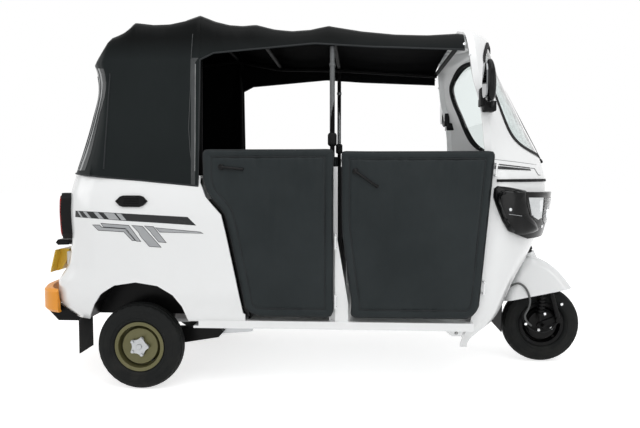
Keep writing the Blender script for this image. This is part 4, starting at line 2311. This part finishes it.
@dataclass
class Fittings:
    """Vent slats with their ear screws, and the plate's rim."""

    slat_heights: tuple = (868.0, 878.0, 888.0, 898.0)
    slat_span: tuple = (-50.0, 20.0)
    slat_half: float = 2.4
    slat_probe: float = -15.0
    slat_sink: float = 0.001
    slat_proud: float = 0.004
    slat_rim: float = 0.0012
    ear_places: tuple = ((-78, 883), (48, 883))
    ear_lift: float = 0.001
    ear_size: tuple = (0.007, 0.004, 0.001, 20)
    rim_sides: tuple = (-0.419, -0.131)
    rim_inset: float = 0.006
    rim_radius: float = 0.0035

    def build(self) -> None:
        """Makes the small fittings."""
        self.vent_slats()
        self.plate_rim()

    def vent_slats(self) -> None:
        """Makes the slats and ear screws of the side vents."""
        slats, screws = [], []
        skin = Skin("side_vents")
        for side in (-1.0, 1.0):
            for height in self.slat_heights:
                hit = skin.first(spot(self.slat_probe, side * ASIDE, height), Vector((0, -side, 0)))
                if hit:
                    y = hit[0].y
                    low = spot(self.slat_span[0], 0, height - self.slat_half)
                    high = spot(self.slat_span[1], 0, height + self.slat_half)
                    low.y, high.y = sorted((y - side * self.slat_sink, y + side * self.slat_proud))
                    slats.append(Bench.slab(low, high, self.slat_rim))
            for x, height in self.ear_places:
                hit = skin.first(spot(x, side * ASIDE, height), Vector((0, -side, 0)))
                if hit:
                    place = hit[0] + Vector((0, side * self.ear_lift, 0))
                    screws.append(Bench.disc(place, Vector((0, side, 0)), *self.ear_size))
        if slats:
            Bench.keep(Bench.join(slats), "vent_slats", "chassis", "matte_black")
        if screws:
            Bench.keep(Bench.join(screws), "vent_screws", "chassis", "black_steel")

    def plate_rim(self) -> None:
        """Makes the raised rim round the blank number plate."""
        low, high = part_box("number_plate")
        skin = Skin("number_plate")
        ring = []
        near, far = self.rim_sides
        foot, top = low.z + self.rim_inset, high.z - self.rim_inset
        for y, z in ((near, foot), (far, foot), (far, top), (near, top)):
            hit = skin.first(Vector((low.x - 0.2, y, z)), Vector((1, 0, 0)))
            if hit:
                ring.append(hit[0])
        if len(ring) == 4:
            bead = Bench.cord_mesh(ring, self.rim_radius, closed=True, smooth=False)
            Bench.keep(bead, "number_plate_rim", "chassis", "silver_print")


def main() -> None:
    """Builds the sub-assemblies in order."""
    logging.basicConfig(level=logging.INFO, format="%(message)s")
    Studio().build()
    Carried().dress()
    SoftTop().build()
    rear = RearBody()
    rear.build()
    Seats().build()
    PaddedDoor(
        "rear",
        [(304, 1133, 30), (918, 1133, 30), (918, 345, 40), (552, 345, 40), (495, 376.5, 40), (464, 526.2, 40),
         (420, 739, 40), (400, 825.7, 40), (330, 904.5, 50), (304, 967.5, 50)],
        (401, 1038), 9.5, "rear_right_door", "rear_left_door",
    ).build()
    PaddedDoor(
        "front",
        [(928, 1123, 24), (1632, 1123, 38), (1570, 399.5, 60), (1525.8, 345, 50), (972, 345, 36),
         (976, 415, 50), (950, 601.7, 50), (928, 780.7, 50)],
        (1004, 1019), 66.5, "front_right_door", "front_left_door",
    ).build()
    for name, body, x, y, out in (
        ("rear_right", "rear_right_wheel", 0.0, -575.0, -1.0),
        ("rear_left", "rear_left_wheel", 0.0, 575.0, 1.0),
        ("front", "front_wheel", 2000.0, 0.0, -1.0),
    ):
        Wheel(name, body, x, y, out, name + "_tyre").build()
    Mirrors().build()
    Poles().build()
    FrontWheelParts().build()
    Prints(rear).build()
    NoseTrim().build()
    Lamps().build()
    Fittings().build()


if __name__ == "__main__":
    main()
